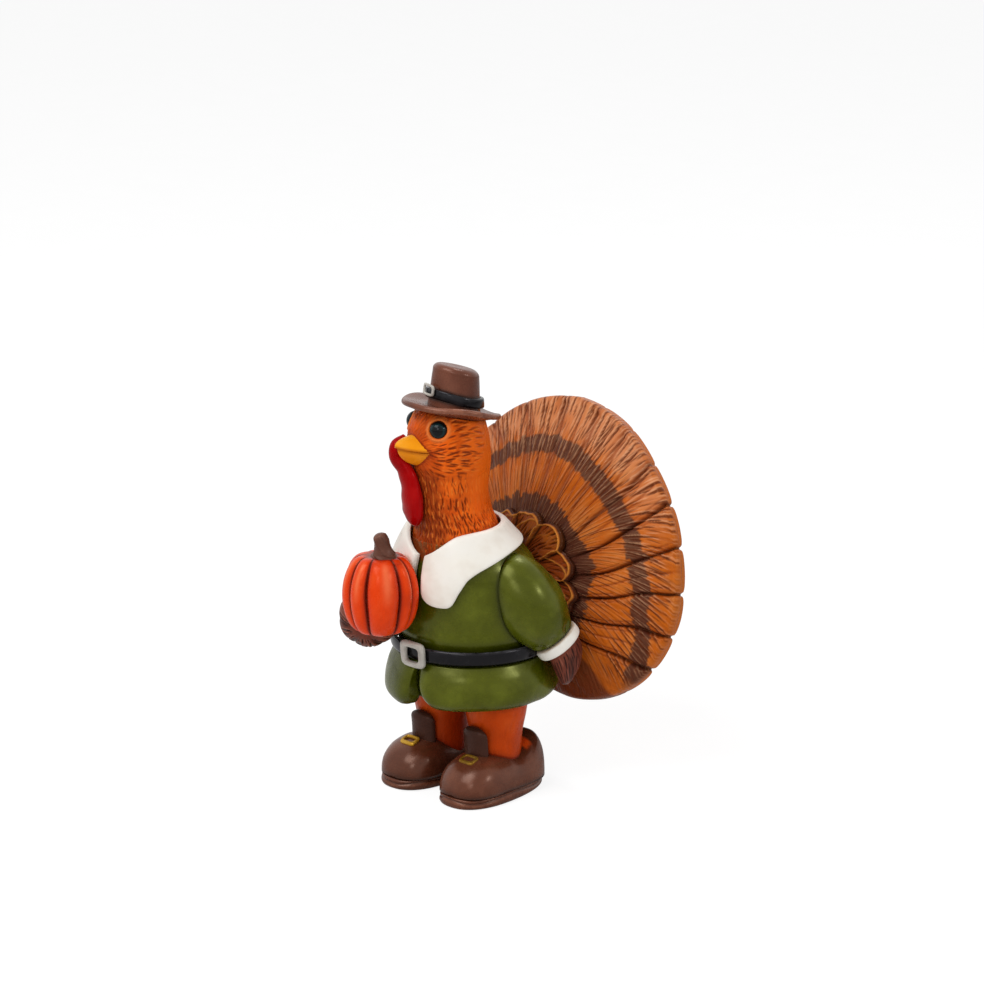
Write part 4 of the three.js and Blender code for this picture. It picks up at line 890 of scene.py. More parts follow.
def shoe_upper(side):
    """Bulbous shoe: square-shouldered arches along it, rounded off at toe and heel, with slow dents."""
    t, b = grid(np.linspace(-np.pi / 2 + 0.02, np.pi / 2 - 0.02, 120), around(110))
    y = 0.03 + UPPER_HALF_LENGTH * np.sin(t)
    x = upper_width(y) * squarish(np.cos(b), 2 / UPPER_SHOULDER)
    rise = np.maximum(np.sin(b), 0) ** (2 / UPPER_SHOULDER)
    dents = 0.3 * uneven(cells(b, 8), y / 2.6 + 9, seed=77 + side, wrap=8)
    z = UPPER_FLOOR - UPPER_SINK + (upper_height(y) + UPPER_SWELL + dents) * rise
    FIELDS[sided("shoe_upper", side)] = {
        # Painted shade: darker towards the bottom, where the upper meets the sole
        "wash_and_shade": 0.75 * ease(0.8 - rise * upper_height(y), 0, 0.8),
        "heel": ease(y, 4.6, 5.0) * ease(6.4 - y, 0, 0.4) * ease(rise, 0.85, 0.95),
    }
    return np.stack([x + side * SHOE_X, y + SHOE_Y, z], -1)


def shoe_tongue(side):
    """Tongue: a rounded plate that hugs the leg's front and stands up from the vamp."""
    s, b = grid(np.linspace(0, 1, 50), around(48))
    z = mix(TONGUE_FOOT, TONGUE_TOP, s)
    leg_front = LEG_BACK - rows_at(LEG, (z - UPPER_FLOOR) / (LEG_TOP - UPPER_FLOOR))[0]
    trim = np.sqrt(1 - np.clip((s - 0.78) / 0.225, 0, 1) ** 2)
    x = TONGUE_HALF_WIDTH * np.maximum(trim, 0.2) * squarish(np.cos(b), 0.75)
    thick = TONGUE_HALF_THICKNESS * trim * (1 - squarish(np.sin(b), 0.9))
    y = leg_front - 0.2 - thick + TONGUE_HUG * x * x
    return np.stack([x + side * (SHOE_X - LEG_INSET), y + SHOE_Y, z], -1)


def shoe_buckle(side):
    """Buckle frame laid over the vamp, sunk a little into it, and dulled by wash on the left shoe."""
    def place(across, up, lift):
        y = SHOE_BUCKLE_Y - up
        z = upper_top(across, y) + lift - SHOE_BUCKLE_SINK[side]
        return np.stack([across + side * SHOE_X, y + SHOE_Y, z], -1)
    if side > 0:
        FIELDS["shoe_buckle_left"] = {"wash_and_shade": 0.8}
    return buckle(*SHOE_BUCKLE, place)


def rim_radius(angle):
    """Radius of the fan's rim at an angle from level, the same on both sides."""
    return rows_at(FAN_RIM, np.degrees(np.arcsin(np.sin(angle))))[0]


def quill(angle, feathers, turn):
    """Place across a feather, from -0.5 to 0.5, and the number of the feather."""
    f = feathers * (angle - turn) / TAU
    return f - np.round(f), np.round(f) % feathers


def fan_surface(s, a):
    """Feathered disc at a share of its radius and an angle.

    The feathers sweep round towards the middle. Gives the radius, the groove between feathers, the
    flow of painted shade in the valleys and of darker shafts, the crown across a feather, the angle
    folded to one side in degrees, and the swept angle.
    """
    swept = a + FAN_SWEEP * (1 - s)
    wander = 0.06 * uneven(cells(swept, 12), s * 5, seed=17, wrap=12)
    q, number = quill(swept + wander, FEATHERS, FEATHER_TURN - np.pi / FEATHERS)
    deg = np.degrees(np.arcsin(np.sin(a)))
    on_feathers = ease(deg, -36, -27)
    bold = mix(0.14, 1, ease(60 - deg, 0, 28)) * on_feathers
    edge = 0.5 - np.abs(q)

    thick = 0.024 + 0.034 * mottle(cells(swept, 25), s * 7, seed=13, wrap=25)
    groove = bell(edge, thick) * ease(s, 0.38, 0.55) * bold
    beside = bell(edge - 0.13 - 0.05 * chance(number, 8, 5), 0.025)
    beside = beside * (mottle(cells(swept, 25), s * 4, seed=33, wrap=25) > 0.4)
    # Painted shade falling off from each groove across the feather
    valley_shade = bell(edge, 0.13) * mix(0.55, 1, mottle(cells(swept, 30), s * 4, seed=29, wrap=30))
    valley_shade = np.maximum(valley_shade, 0.9 * beside)
    shaft = bell(q - 0.12 * (chance(number, 3, 5) - 0.5), 0.035) * ease(chance(number, 6, 5), 0.35, 0.4)
    flow = np.maximum(valley_shade * on_feathers, 0.85 * shaft * ease(s, 0.45, 0.6))

    notch = 0.5 * bold * (bell(edge, 0.03) + 0.35 * bell(edge, 0.1)) * ease(s, 0.86, 1)
    radius = s * (rim_radius(a) - FAN_INSET - notch)
    crown = 1 - mix(0.3, 1, bold) * (1 - np.sqrt(np.abs(np.cos(np.pi * q))))
    return radius, groove, flow, crown, deg, swept


def bands(r, swept, deg):
    """Painted bands of the fan: a stripe and a dark heart by angle, each stepped by brush strokes."""
    broad = chance(np.floor(cells(swept, 100)), 2, 9) - 0.5
    thin = chance(np.floor(cells(swept, 230)), 4, 3) - 0.5
    jag = 0.5 * broad + 0.5 * thin
    middle = rows_at(STRIPE_MIDDLE, deg)[0]
    half = rows_at(STRIPE_HALF, deg)[0]
    stripe = ease(half - np.abs(r + jag - middle), -0.12, 0.12)
    heart = ease(rows_at(HEART_EDGE, deg)[0] + 1.8 * jag - r, -0.15, 0.15)
    return np.maximum(stripe, heart) * ease(deg, -34, -26)


def tail_face():
    """Front of the fan: a domed disc of crowned feathers with carved strokes, its rim and a flat closing."""
    front = np.concatenate([np.linspace(0.34, 0.95, 78), np.linspace(0.96, 1, 6)])
    side = np.linspace(0.06, 0.5, 5)
    share = np.concatenate([front, np.ones(len(side)), [0.7]])
    through = np.concatenate([np.zeros(len(front)), side, [0.5]])[:, None]
    s, a = grid(share, -np.pi / 2 + around(1080))
    r, groove, flow, crown, deg, swept = fan_surface(s, a)
    slant = 0.12 + 0.75 * ease(62 - deg, 0, 50) * np.sign(np.cos(a))
    barb = swept + slant * (s - 0.75)
    outer = ease(r, 19, 22)
    high = ease(deg, -15, 25)
    on_feathers = ease(deg, -36, -28)
    face = (1 - through) * ease(0.985 - s, 0, 0.03)
    over_rim = mix(0.55, 1, ease(deg, 22, 40)) * (1 - ease(through, 0.2, 0.45))
    cover = np.maximum(face, over_rim)

    bold = strokes(cells(barb, 140), r / 6.5, seed=21, width=0.14, length=0.8, tilt=0.5, wrap=140)
    fine = strokes(cells(barb, 210), r / 3.4, seed=23, width=0.16, length=0.6, tilt=0.7, wrap=210)
    marks = np.maximum(bold * mix(0.6, 1, outer), 0.7 * fine * mix(0.3, 1, outer)) * cover * on_feathers
    beside = strokes(cells(barb, 140) - 0.26, r / 6.5, seed=21, width=0.1, length=0.8, tilt=0.5, wrap=140)
    between = strokes(cells(barb, 180), r / 4.5, seed=25, width=0.12, length=0.6, tilt=0.6, wrap=180)
    ridges = np.maximum(beside, 0.8 * between * outer)

    rough = 0.3 * uneven(cells(swept, 50), s * 6, seed=81, wrap=50)
    rough = rough + 0.2 * uneven(cells(swept, 120), s * 5, seed=83, wrap=120)
    relief = (0.14 * ridges - 0.34 * marks - 0.25 * flow - rough) * face
    lift = FEATHER_CROWN * s * mix(0.3, 1, crown) - 0.75 * groove + relief
    y_front = -FAN_DOME * (1 - s ** 2) - lift + 0.2
    y_back = FAN_THICKNESS + FEATHER_CROWN / 2 * s
    r = r - 0.22 * (1 - ease(through, 0, 0.12)) * ease(s, 0.985, 1)

    broken = mix(0.6, 1, mottle(cells(swept, 40), s * 9, seed=39, wrap=40))
    patchy = mix(0.4, 1, mottle(cells(swept, 90), r / 3, seed=35, wrap=90))
    ragged = 5 * uneven(cells(barb, 70), r / 4, seed=37, wrap=70)
    FIELDS["tail_fan"] = {
        "groove": np.clip(groove * 1.25, 0, 1) * broken,
        # Painted shade in the valleys between feathers, together with the darker quill shafts
        "valley_shade": flow * cover * ease(r, 13, 16),
        "carve": crisp(marks),
        # Pale streaks on the ridges: partly dry-brush, partly painted highlight glints, stronger towards the
        # top and rim
        "highlight_streak": crisp(ridges) * cover * on_feathers * mix(0.45, 1, high * ease(r, 20, 26)),
        "band": bands(r, swept, deg) * (1 - through),
        # Pinkish paint near the rim over the upper part: partly dry-brush, partly a painted highlight on the
        # top
        "brush": ease(r, 23.5, 26.5) * ease(deg, 20, 55) * cover * patchy,
        "skin": ease(-deg - 0.6 * (r - 20) + ragged, 35.5, 38),
        "rim": np.maximum(ease(through, 0, 0.1), ease(s, 0.985, 1)) * (0.7 - 0.4 * ease(deg, 40, 65)),
        "flow_u": cells(barb, FEATHERS),
        "flow_v": r / 10,
    }
    return from_tail(np.stack([r * np.cos(a), mix(y_front, y_back, through), r * np.sin(a)], -1))


def tail_back():
    """Back of the fan: a shallow disc of feathers with long carved strokes, from mid rim inwards."""
    side = np.linspace(0.5, 0.96, 6)
    back = np.linspace(1, 0.08, 70)
    share = np.concatenate([[0.7], np.ones(len(side)), back])
    through = np.concatenate([[0.5], side, np.ones(len(back))])[:, None]
    s, a = grid(share, -np.pi / 2 + around(720))
    r, groove, flow, crown, deg, swept = fan_surface(s, a)
    face = ease(through, 0.97, 1) * ease(0.985 - s, 0, 0.04)
    marks = strokes(cells(swept, 130), r / 5, seed=91, width=0.14, length=0.55, tilt=0.4, wrap=130)
    marks = marks * face * ease(r, 5, 9)
    rough = 0.3 * uneven(cells(swept, 40), s * 6, seed=93, wrap=40) * face
    relief = FEATHER_CROWN / 2 * s * crown - 0.5 * groove - 0.25 * marks + rough
    y_front = -0.5 * s
    y_back = FAN_THICKNESS - FAN_BACK_DOME * (1 - s ** 2) + relief - 0.2
    r = r - 0.02 - 0.25 * ease(through, 0.9, 1) * ease(s, 0.985, 1)
    FIELDS["tail_back"] = {
        "groove": np.clip(groove, 0, 1),
        # Painted shade in the valleys between feathers, together with the darker quill shafts
        "valley_shade": flow * face * ease(r, 8, 12),
        "carve": marks,
        "band": bands(r, swept, deg) * face * ease(r, 16, 17),
        "skin": np.maximum(ease(-deg, 28, 38), ease(7 - r, 0, 4)),
        "rim": 1 - face,
        "flow_u": cells(swept, FEATHERS),
        "flow_v": r / 10,
    }
    return from_tail(np.stack([r * np.cos(a), mix(y_front, y_back, through), r * np.sin(a)], -1))


def tail_coverts():
    """Ruff of short feathers: lobes that overlap clockwise, with thin raised rims and carved strokes."""
    front = np.linspace(0.3, 1, 84)
    share = np.concatenate([front, np.linspace(1, 0.3, 12)])
    under = (np.arange(len(share)) >= len(front)).astype(float)[:, None]
    s, a = grid(share, -np.pi / 2 + around(760))
    q, number = quill(a + 0.04 * np.sin(3 * a), COVERT_LOBES, COVERT_TURN)
    reach = rows_at(COVERT_REACH, np.degrees(np.arcsin(np.sin(a))))[0]
    wavy = 0.8 * uneven(cells(a, 64), 0 * a, seed=87, wrap=64) + 0.6 * (chance(number, 5, 87) - 0.5)
    r = s * (reach + 0.3 - 1.2 * np.abs(2 * q) ** 2 + wavy)

    tip = bell(s - 0.96, 0.012)
    flank = bell(q + 0.46 + 0.06 * uneven(a, s * 14, seed=97), 0.017) * ease(s, 0.55, 0.75)
    inner = 0.7 * bell(s - 0.86 + 0.25 * q, 0.014) * ease(chance(number, 8, 91), 0.4, 0.5)
    edge = np.maximum(np.maximum(tip, flank), inner)
    marks = strokes(cells(a + 0.5 * s, 80), r / 2.6, seed=95, width=0.18, length=0.6, tilt=0.7, wrap=80)
    marks = marks * (1 - edge) * ease(0.97 - s, 0, 0.05)
    overlap = 0.6 * (0.5 - q) * ease(s, 0.35, 0.75)
    thick = 0.25 + overlap + 0.22 * edge - 0.3 * marks - 0.25 * ease(s, 0.97, 1)
    seat = -FAN_DOME * (1 - (r / rim_radius(a)) ** 2) - COVERT_SEAT
    y = seat - thick * (1 - under) + 0.4 * under

    outside = np.maximum(ease(s, 0.97, 0.985), under)
    root = np.maximum(bell(q - 0.46, 0.05) * ease(s, 0.4, 0.7), ease(0.45 - s, 0, 0.2))
    gilded = ease(chance(number, 7, 99), 0.5, 0.7) * ease(s, 0.55, 0.8)
    worn_rim = np.clip(edge * (0.35 + mottle(cells(a, 60), s * 9, seed=89, wrap=60)), 0, 1)
    FIELDS["tail_coverts"] = {
        "rim": worn_rim * (1 - outside),
        # Dark at each lobe's root and towards the middle, and painted shadow on the ruff's outer wall and
        # underside
        "groove": np.maximum(root, outside),
        "carve": marks,
        "gold": gilded * mottle(cells(a, 40), s * 6, seed=85, wrap=40),
        "flow_u": cells(a, FEATHERS),
        "flow_v": r / 10,
    }
    return from_tail(np.stack([r * np.cos(a), y, r * np.sin(a)], -1))


def facing(shape):
    """Unit normals of a shape's grid: the cross product of its steps along and round."""
    along = np.gradient(shape, axis=0)
    sideways = np.roll(shape, -1, axis=1) - np.roll(shape, 1, axis=1)
    normal = np.cross(along, sideways)
    return normal / np.maximum(np.linalg.norm(normal, axis=-1, keepdims=True), 1e-9)


def near(shape, reach, *others):
    """1 where a shape touches the others, 0 at the reach: a dark line where they touch and painted shade
    falling off round it, by the distance to their nearest flat.
    """
    flat = shape.reshape(-1, 3)
    distance = np.full(len(flat), float(reach))
    for name in others:
        other = SHAPES[name]
        skip = [max(1, count // NEAR_ROWS) for count in other.shape[:2]]
        cloud = other[::skip[0], ::skip[1]].reshape(-1, 3)
        normal = facing(other)[::skip[0], ::skip[1]].reshape(-1, 3)
        low, high = cloud.min(0) - reach, cloud.max(0) + reach
        close = np.flatnonzero(np.all((flat > low) & (flat < high), axis=1))
        for part in np.array_split(close, max(1, len(close) // NEAR_BATCH)):
            nearest = ((cloud ** 2).sum(1) - 2 * flat[part] @ cloud.T).argmin(1)
            away = flat[part] - cloud[nearest]
            off = np.abs((away * normal[nearest]).sum(1))
            beside = np.sqrt(np.maximum((away ** 2).sum(1) - off ** 2, 0))
            gap = np.hypot(off, np.maximum(beside - NEAR_SPACING, 0))
            distance[part] = np.minimum(distance[part], gap)
    distance = distance.reshape(shape.shape[:2])
    # Painted shade falling off over the reach, and a crisp dark line where they touch
    return np.maximum(0.7 * (1 - distance / reach) ** 1.5, ease(0.5 - distance, 0, 0.35))


# Materials

def srgb(r, g, b):
    """Display colour, 0 to 255, as the linear colour that a shader takes."""
    v = np.array([r, g, b]) / 255
    linear = np.where(v <= 0.04045, v / 12.92, ((v + 0.055) / 1.055) ** 2.4)
    return (*linear, 1.0)


def add(tree, kind, inputs=(), **settings):
    """New node with its settings, and each input linked to a socket or set to a value."""
    node = tree.nodes.new(kind)
    for key, value in settings.items():
        setattr(node, key, value)
    for key, value in dict(inputs).items():
        if isinstance(value, bpy.types.NodeSocket):
            tree.links.new(value, node.inputs[key])
        else:
            node.inputs[key].default_value = value
    return node


def blend(tree, share, first, second):
    """Colour between two, by a share."""
    node = add(tree, "ShaderNodeMix", {0: share, 6: first, 7: second}, data_type="RGBA")
    return node.outputs[2]


def calc(tree, operation, first, second=0.0):
    """One sum of two values."""
    return add(tree, "ShaderNodeMath", {0: first, 1: second}, operation=operation).outputs[0]


def stretch(tree, value, low, high, to_low=0.0, to_high=1.0):
    """A value's range brought to another, held at the ends."""
    inputs = {0: value, 1: low, 2: high, 3: to_low, 4: to_high}
    return add(tree, "ShaderNodeMapRange", inputs).outputs[0]


def noise(tree, **inputs):
    """Noise by the named inputs."""
    return add(tree, "ShaderNodeTexNoise", inputs).outputs[0]


def field(tree, name):
    """A painted value that a piece carries on its points."""
    return add(tree, "ShaderNodeAttribute", attribute_name=name).outputs["Fac"]


def new_group(name, inputs, outputs):
    """Empty shader group with sockets by name and kind: its tree, its given values and its results."""
    tree = bpy.data.node_groups.new(name, "ShaderNodeTree")
    for way, sockets in (("INPUT", inputs), ("OUTPUT", outputs)):
        for key, kind in sockets.items():
            tree.interface.new_socket(key, in_out=way, socket_type=f"NodeSocket{kind}")
    given = tree.nodes.new("NodeGroupInput").outputs
    results = tree.nodes.new("NodeGroupOutput").inputs
    return tree, given, results


def hand_paint_group():
    """Brushed paint: patchy colour from two noises, dark wash and painted shade in seams, light dry-brush
    and painted highlights, and unevenness.
    """
    colours = {key: "Color" for key in ("Base", "Light", "Deep")}
    amounts = {key: "Float" for key in ("Wash", "Lift", "Scale", "Satin")}
    results = {"Color": "Color", "Roughness": "Float", "Height": "Float"}
    tree, given, out = new_group("hand paint", colours | amounts, results)
    place = add(tree, "ShaderNodeTexCoord").outputs["Object"]
    small_scale = calc(tree, "MULTIPLY", given["Scale"], 5.0)
    broad = noise(tree, Vector=place, Scale=given["Scale"], Detail=3.0, Roughness=0.55)
    small = noise(tree, Vector=place, Scale=small_scale, Detail=4.0, Roughness=0.6)
    patch = stretch(tree, broad, 0.5, 0.72, 0.0, 0.35)
    shade = stretch(tree, broad, 0.5, 0.28, 0.0, 0.35)
    speck = calc(tree, "MULTIPLY", stretch(tree, small, 0.56, 0.74), 0.12)
    # Light dry-brush, and painted highlights where a piece's lift field marks them
    lift = calc(tree, "MULTIPLY", given["Lift"], stretch(tree, small, 0.36, 0.56))
    # Dark wash and painted shade in seams, broken up by noise
    ragged = calc(tree, "MULTIPLY", given["Wash"], stretch(tree, small, 0.3, 0.6, 0.75, 1.0))
    colour = given["Base"]
    coats = [(patch, "Light"), (shade, "Deep"), (speck, "Light"), (lift, "Light"), (ragged, "Deep")]
    for share, tone in coats:
        colour = blend(tree, share, colour, given[tone])
    tree.links.new(colour, out["Color"])
    satin = stretch(tree, small, 0.3, 0.7, -0.08, 0.08)
    tree.links.new(calc(tree, "ADD", given["Satin"], satin), out["Roughness"])
    tree.links.new(calc(tree, "ADD", calc(tree, "MULTIPLY", small, 0.3), broad), out["Height"])
    return tree


def barbs_group():
    """Feather barbs: thin dark lines and pale streaks from noise drawn out along the feather."""
    inputs = {key: "Float" for key in ("Across", "Along", "Fine")}
    outputs = {key: "Float" for key in ("Lines", "Streaks")}
    tree, given, out = new_group("feather barbs", inputs, outputs)
    x = calc(tree, "MULTIPLY", given["Across"], given["Fine"])
    place = add(tree, "ShaderNodeCombineXYZ", {0: x, 1: given["Along"]}).outputs[0]
    shifted = add(tree, "ShaderNodeVectorMath", {0: place, 1: (31.7, 5.3, 0)}, operation="ADD").outputs[0]
    lines = noise(tree, Vector=place, Scale=1.0, Detail=2.0, Distortion=0.35)
    streaks = noise(tree, Vector=shifted, Scale=1.3, Detail=2.0)
    tree.links.new(stretch(tree, lines, 0.53, 0.63), out["Lines"])
    tree.links.new(stretch(tree, streaks, 0.57, 0.68), out["Streaks"])
    return tree


HAND_PAINT = hand_paint_group()
BARBS = barbs_group()
BUMP_DISTANCE = 0.0003


def painted(
    name, base, light, deep, layers=(),
    satin=0.3, scale=150.0, specular=0.16, bump=0.12, barbs=None, metallic=0.0,
):
    """Painted resin: hand paint, colour layers that follow the piece's fields, and a tinted varnish."""
    material = bpy.data.materials.new(name)
    material.use_nodes = True
    tree = material.node_tree
    shader = tree.nodes["Principled BSDF"]
    base, light, deep = srgb(*base), srgb(*light), srgb(*deep)
    given = {"Base": base, "Light": light, "Deep": deep, "Scale": scale, "Satin": satin}
    given |= {"Wash": field(tree, "wash_and_shade"), "Lift": field(tree, "lift")}
    paint = add(tree, "ShaderNodeGroup", given, node_tree=HAND_PAINT)
    colour, height = paint.outputs["Color"], paint.outputs["Height"]
    if barbs:
        fine, dark, pale = barbs
        given = {"Across": field(tree, "flow_u"), "Along": field(tree, "flow_v"), "Fine": fine}
        feather = add(tree, "ShaderNodeGroup", given, node_tree=BARBS)
        lines, streaks = feather.outputs["Lines"], feather.outputs["Streaks"]
        colour = blend(tree, calc(tree, "MULTIPLY", lines, dark), colour, deep)
        colour = blend(tree, calc(tree, "MULTIPLY", streaks, pale), colour, light)
        height = calc(tree, "SUBTRACT", height, lines)
    for key, tone, strength in layers:
        colour = blend(tree, calc(tree, "MULTIPLY", field(tree, key), strength), colour, srgb(*tone))
    tree.links.new(colour, shader.inputs["Base Color"])
    tree.links.new(paint.outputs["Roughness"], shader.inputs["Roughness"])
    pure = np.array(base)
    shader.inputs["Specular IOR Level"].default_value = specular
    shader.inputs["Specular Tint"].default_value = 0.2 + 0.8 * (pure / pure[:3].max()).clip(0, 1) ** 0.4
    shader.inputs["Metallic"].default_value = metallic
    bumped = add(tree, "ShaderNodeBump", {"Strength": bump, "Distance": BUMP_DISTANCE, "Height": height})
    tree.links.new(bumped.outputs[0], shader.inputs["Normal"])
    return material


# Base, light and deep colours of each paint, then layers of field, colour and strength
PAINTS = {
    "hat": painted(
        # The light colour is also the painted highlight on the brim's edge
        "brown hat paint", (102, 55, 39), (146, 92, 70), (44, 20, 14),
        satin=0.27, specular=0.45, bump=0.06,
    ),
    "black": painted(
        # The light colour is also the painted highlight line along the belt's edge
        "black strap paint", (8, 7, 9), (78, 77, 82), (3, 3, 4),
        satin=0.17, specular=0.22, bump=0.05,
    ),
    "silver": painted(
        "dull silver paint", (196, 190, 181), (232, 228, 220), (84, 77, 70),
        satin=0.3, scale=300, specular=0.3,
    ),
    "plumage": painted(
        "orange plumage paint", (240, 97, 17), (252, 132, 44), (130, 40, 10),
        [
            # Layers: painted highlight on the neck's sides, painted shade under the jaw and down the throat
            ("neck_side_highlight", (240, 108, 20), 0.6), ("shadow", (176, 60, 14), 0.55), ("brow", (176, 66, 16), 0.4),
            ("throat_shade", (120, 44, 16), 0.7), ("pale", (252, 144, 56), 0.45), ("carve", (116, 37, 9), 0.9),
            ("lid", (240, 140, 70), 0.6),
        ],
        satin=0.34,
    ),
    "beak": painted(
        "yellow beak paint", (250, 158, 22), (255, 196, 80), (206, 104, 14),
        # The upper beak's ridge layer is a painted highlight
        [("ridge_highlight", (255, 186, 56), 0.5), ("carve", (170, 78, 12), 0.8)],
        satin=0.25,
    ),
    "beak_lower": painted(
        "orange lower beak paint", (244, 146, 24), (252, 170, 60), (190, 84, 14),
        [("carve", (170, 78, 12), 0.6)],
        satin=0.25,
    ),
    "snood": painted(
        "glossy red paint", (164, 4, 6), (208, 44, 40), (78, 3, 7),
        # The edge layer is painted shade down one side of the snood
        [("edge", (92, 20, 36), 0.8)],
        satin=0.2,
    ),
    "eye": painted(
        "glossy eye paint", (7, 8, 9), (10, 12, 13), (3, 3, 3),
        [("iris", (16, 50, 53), 0.8), ("pupil", (3, 3, 4), 1.0)],
        satin=0.12, bump=0.0, specular=0.2,
    ),
    "collar": painted(
        "white collar paint", (249, 244, 234), (254, 252, 248), (196, 172, 146),
        satin=0.32,
    ),
    "coat": painted(
        "olive coat paint", (67, 72, 2), (118, 126, 36), (26, 30, 1),
        [("neck", (122, 50, 20), 0.95)],
        satin=0.26, specular=0.5, bump=0.04,
    ),
    "wing": painted(
        "brown wing paint", (112, 56, 42), (172, 104, 84), (48, 19, 15),
        [("carve", (36, 12, 9), 0.95)],
        satin=0.34,
    ),
    "pumpkin": painted(
        "pumpkin paint", (236, 64, 10), (252, 108, 50), (150, 26, 6),
        # The valley layer is painted shade beside the grooves, the streak layer a painted highlight on each
        # lobe
        [("valley_shade", (186, 36, 8), 0.7), ("highlight_streak", (255, 130, 84), 0.6), ("carve", (96, 16, 6), 0.97)],
        satin=0.25, specular=0.34, bump=0.06,
    ),
    "stem": painted(
        "brown stem paint", (98, 62, 50), (144, 104, 88), (44, 24, 18),
        [("carve", (56, 30, 22), 0.6)],
        satin=0.32,
    ),
    "leg": painted(
        "orange leg paint", (204, 70, 13), (232, 104, 40), (120, 30, 8),
        # The inner layer is painted shade on the legs' inner sides
        [("inner", (160, 44, 10), 0.6), ("carve", (160, 50, 12), 0.4)],
        satin=0.3,
    ),
    "shoe": painted(
        "brown shoe paint", (90, 45, 28), (142, 88, 64), (36, 15, 9),
        [("heel", (226, 84, 22), 0.95)],
        satin=0.26, specular=0.5, bump=0.06,
    ),
    "tongue": painted(
        "dark tongue paint", (70, 41, 32), (98, 66, 54), (30, 16, 12),
        satin=0.3,
    ),
    "gold": painted(
        "dull gold paint", (196, 146, 40), (236, 200, 110), (86, 56, 16),
        satin=0.28, scale=300, metallic=0.3,
    ),
    "tail": painted(
        "tail feather paint", (193, 93, 16), (214, 138, 68), (132, 52, 15),
        [
            # brush: dry-brush and painted highlight near the top rim; valley: painted shade; streak:
            # dry-brush and painted glints
            ("brush", (216, 146, 104), 0.75), ("rim", (194, 102, 34), 0.8), ("valley_shade", (136, 53, 18), 0.78),
            ("band", (74, 38, 30), 0.95), ("highlight_streak", (232, 172, 130), 0.5), ("carve", (92, 33, 11), 0.88),
            ("skin", (108, 48, 26), 0.9), ("groove", (72, 28, 11), 0.95),
        ],
        satin=0.34, bump=0.25, barbs=(9.0, 0.25, 0.2), specular=0.24,
    ),
    "covert": painted(
        "covert feather paint", (150, 64, 22), (204, 114, 44), (70, 26, 10),
        [
            # The groove layer holds dark lobe roots and the painted shadow round the ruff's outside
            ("gold", (196, 108, 30), 0.6), ("carve", (62, 22, 8), 0.9), ("groove", (42, 17, 9), 0.9),
            ("rim", (226, 146, 60), 0.95),
        ],
        satin=0.32, bump=0.25, barbs=(7.0, 0.5, 0.3),
    ),
}


# Pieces

def make(name, shape, paint, slot, loop=False, node=None):
    """Mesh over the rings of a shape, closed by a fan at each end unless it loops, with its fields."""
    m, n = shape.shape[:2]
    points = shape.reshape(-1, 3)
    index = np.arange(m * n).reshape(m, n)
    after = np.roll(index, -1, axis=1)
    if loop:
        corners = [index, after, np.roll(after, -1, axis=0), np.roll(index, -1, axis=0)]
        tris = np.zeros((0, 3), int)
    else:
        corners = [index[:-1], after[:-1], after[1:], index[1:]]
        points = np.concatenate([points, shape[0].mean(0)[None], shape[-1].mean(0)[None]])
        first = np.stack([np.full(n, m * n), after[0], index[0]], -1)
        last = np.stack([np.full(n, m * n + 1), index[-1], after[-1]], -1)
        tris = np.concatenate([first, last])
    quads = np.stack(corners, -1).reshape(-1, 4)
    halves = np.concatenate([quads[:, [0, 1, 2]], quads[:, [0, 2, 3]], tris])
    p, q, r = np.moveaxis(points[halves], 1, 0)
    inside_out = (p * np.cross(q, r)).sum() < 0
    if inside_out:
        quads, tris = quads[:, ::-1], tris[:, ::-1]
    mesh = bpy.data.meshes.new(name)
    mesh.vertices.add(len(points))
    mesh.vertices.foreach_set("co", ((points + TORSO) * MM).ravel())
    loops = np.concatenate([quads.ravel(), tris.ravel()])
    starts = np.concatenate([np.arange(len(quads)) * 4, len(quads) * 4 + np.arange(len(tris)) * 3])
    mesh.loops.add(len(loops))
    mesh.loops.foreach_set("vertex_index", loops)
    mesh.polygons.add(len(starts))
    mesh.polygons.foreach_set("loop_start", starts)
    mesh.update(calc_edges=True)
    mesh.validate()
    mesh.shade_smooth()
    for key, value in FIELDS.get(name, {}).items():
        value = np.broadcast_to(value, (m, n))
        ends = [] if loop else [value[0].mean(), value[-1].mean()]
        flat = np.concatenate([value.ravel(), ends]).astype(np.float32)
        mesh.attributes.new(key, "FLOAT", "POINT").data.foreach_set("value", flat)
    mesh.materials.append(PAINTS[paint])
    piece = bpy.data.objects.new(name + "_painted", mesh)
    bpy.context.scene.collection.objects.link(piece)
    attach(piece, "root")
    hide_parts(node or name)


left_line = rounded(LEFT_ARM, 60)
left_down = unit(left_line[-1] - left_line[-2])
left_cuff_start = left_line[-1] + GAP * left_down
left_hand_start = left_cuff_start + (CUFF_WIDTH + GAP) * left_down
to_elbow = unit(RIGHT_ELBOW - PALM_AT)
right_cuff_start = PALM_AT + PALM_TO_CUFF * to_elbow
right_wrist = right_cuff_start + (CUFF_WIDTH + GAP) * to_elbow
right_arm = [RIGHT_SHOULDER, RIGHT_UPPER_ARM, RIGHT_ELBOW, right_wrist]

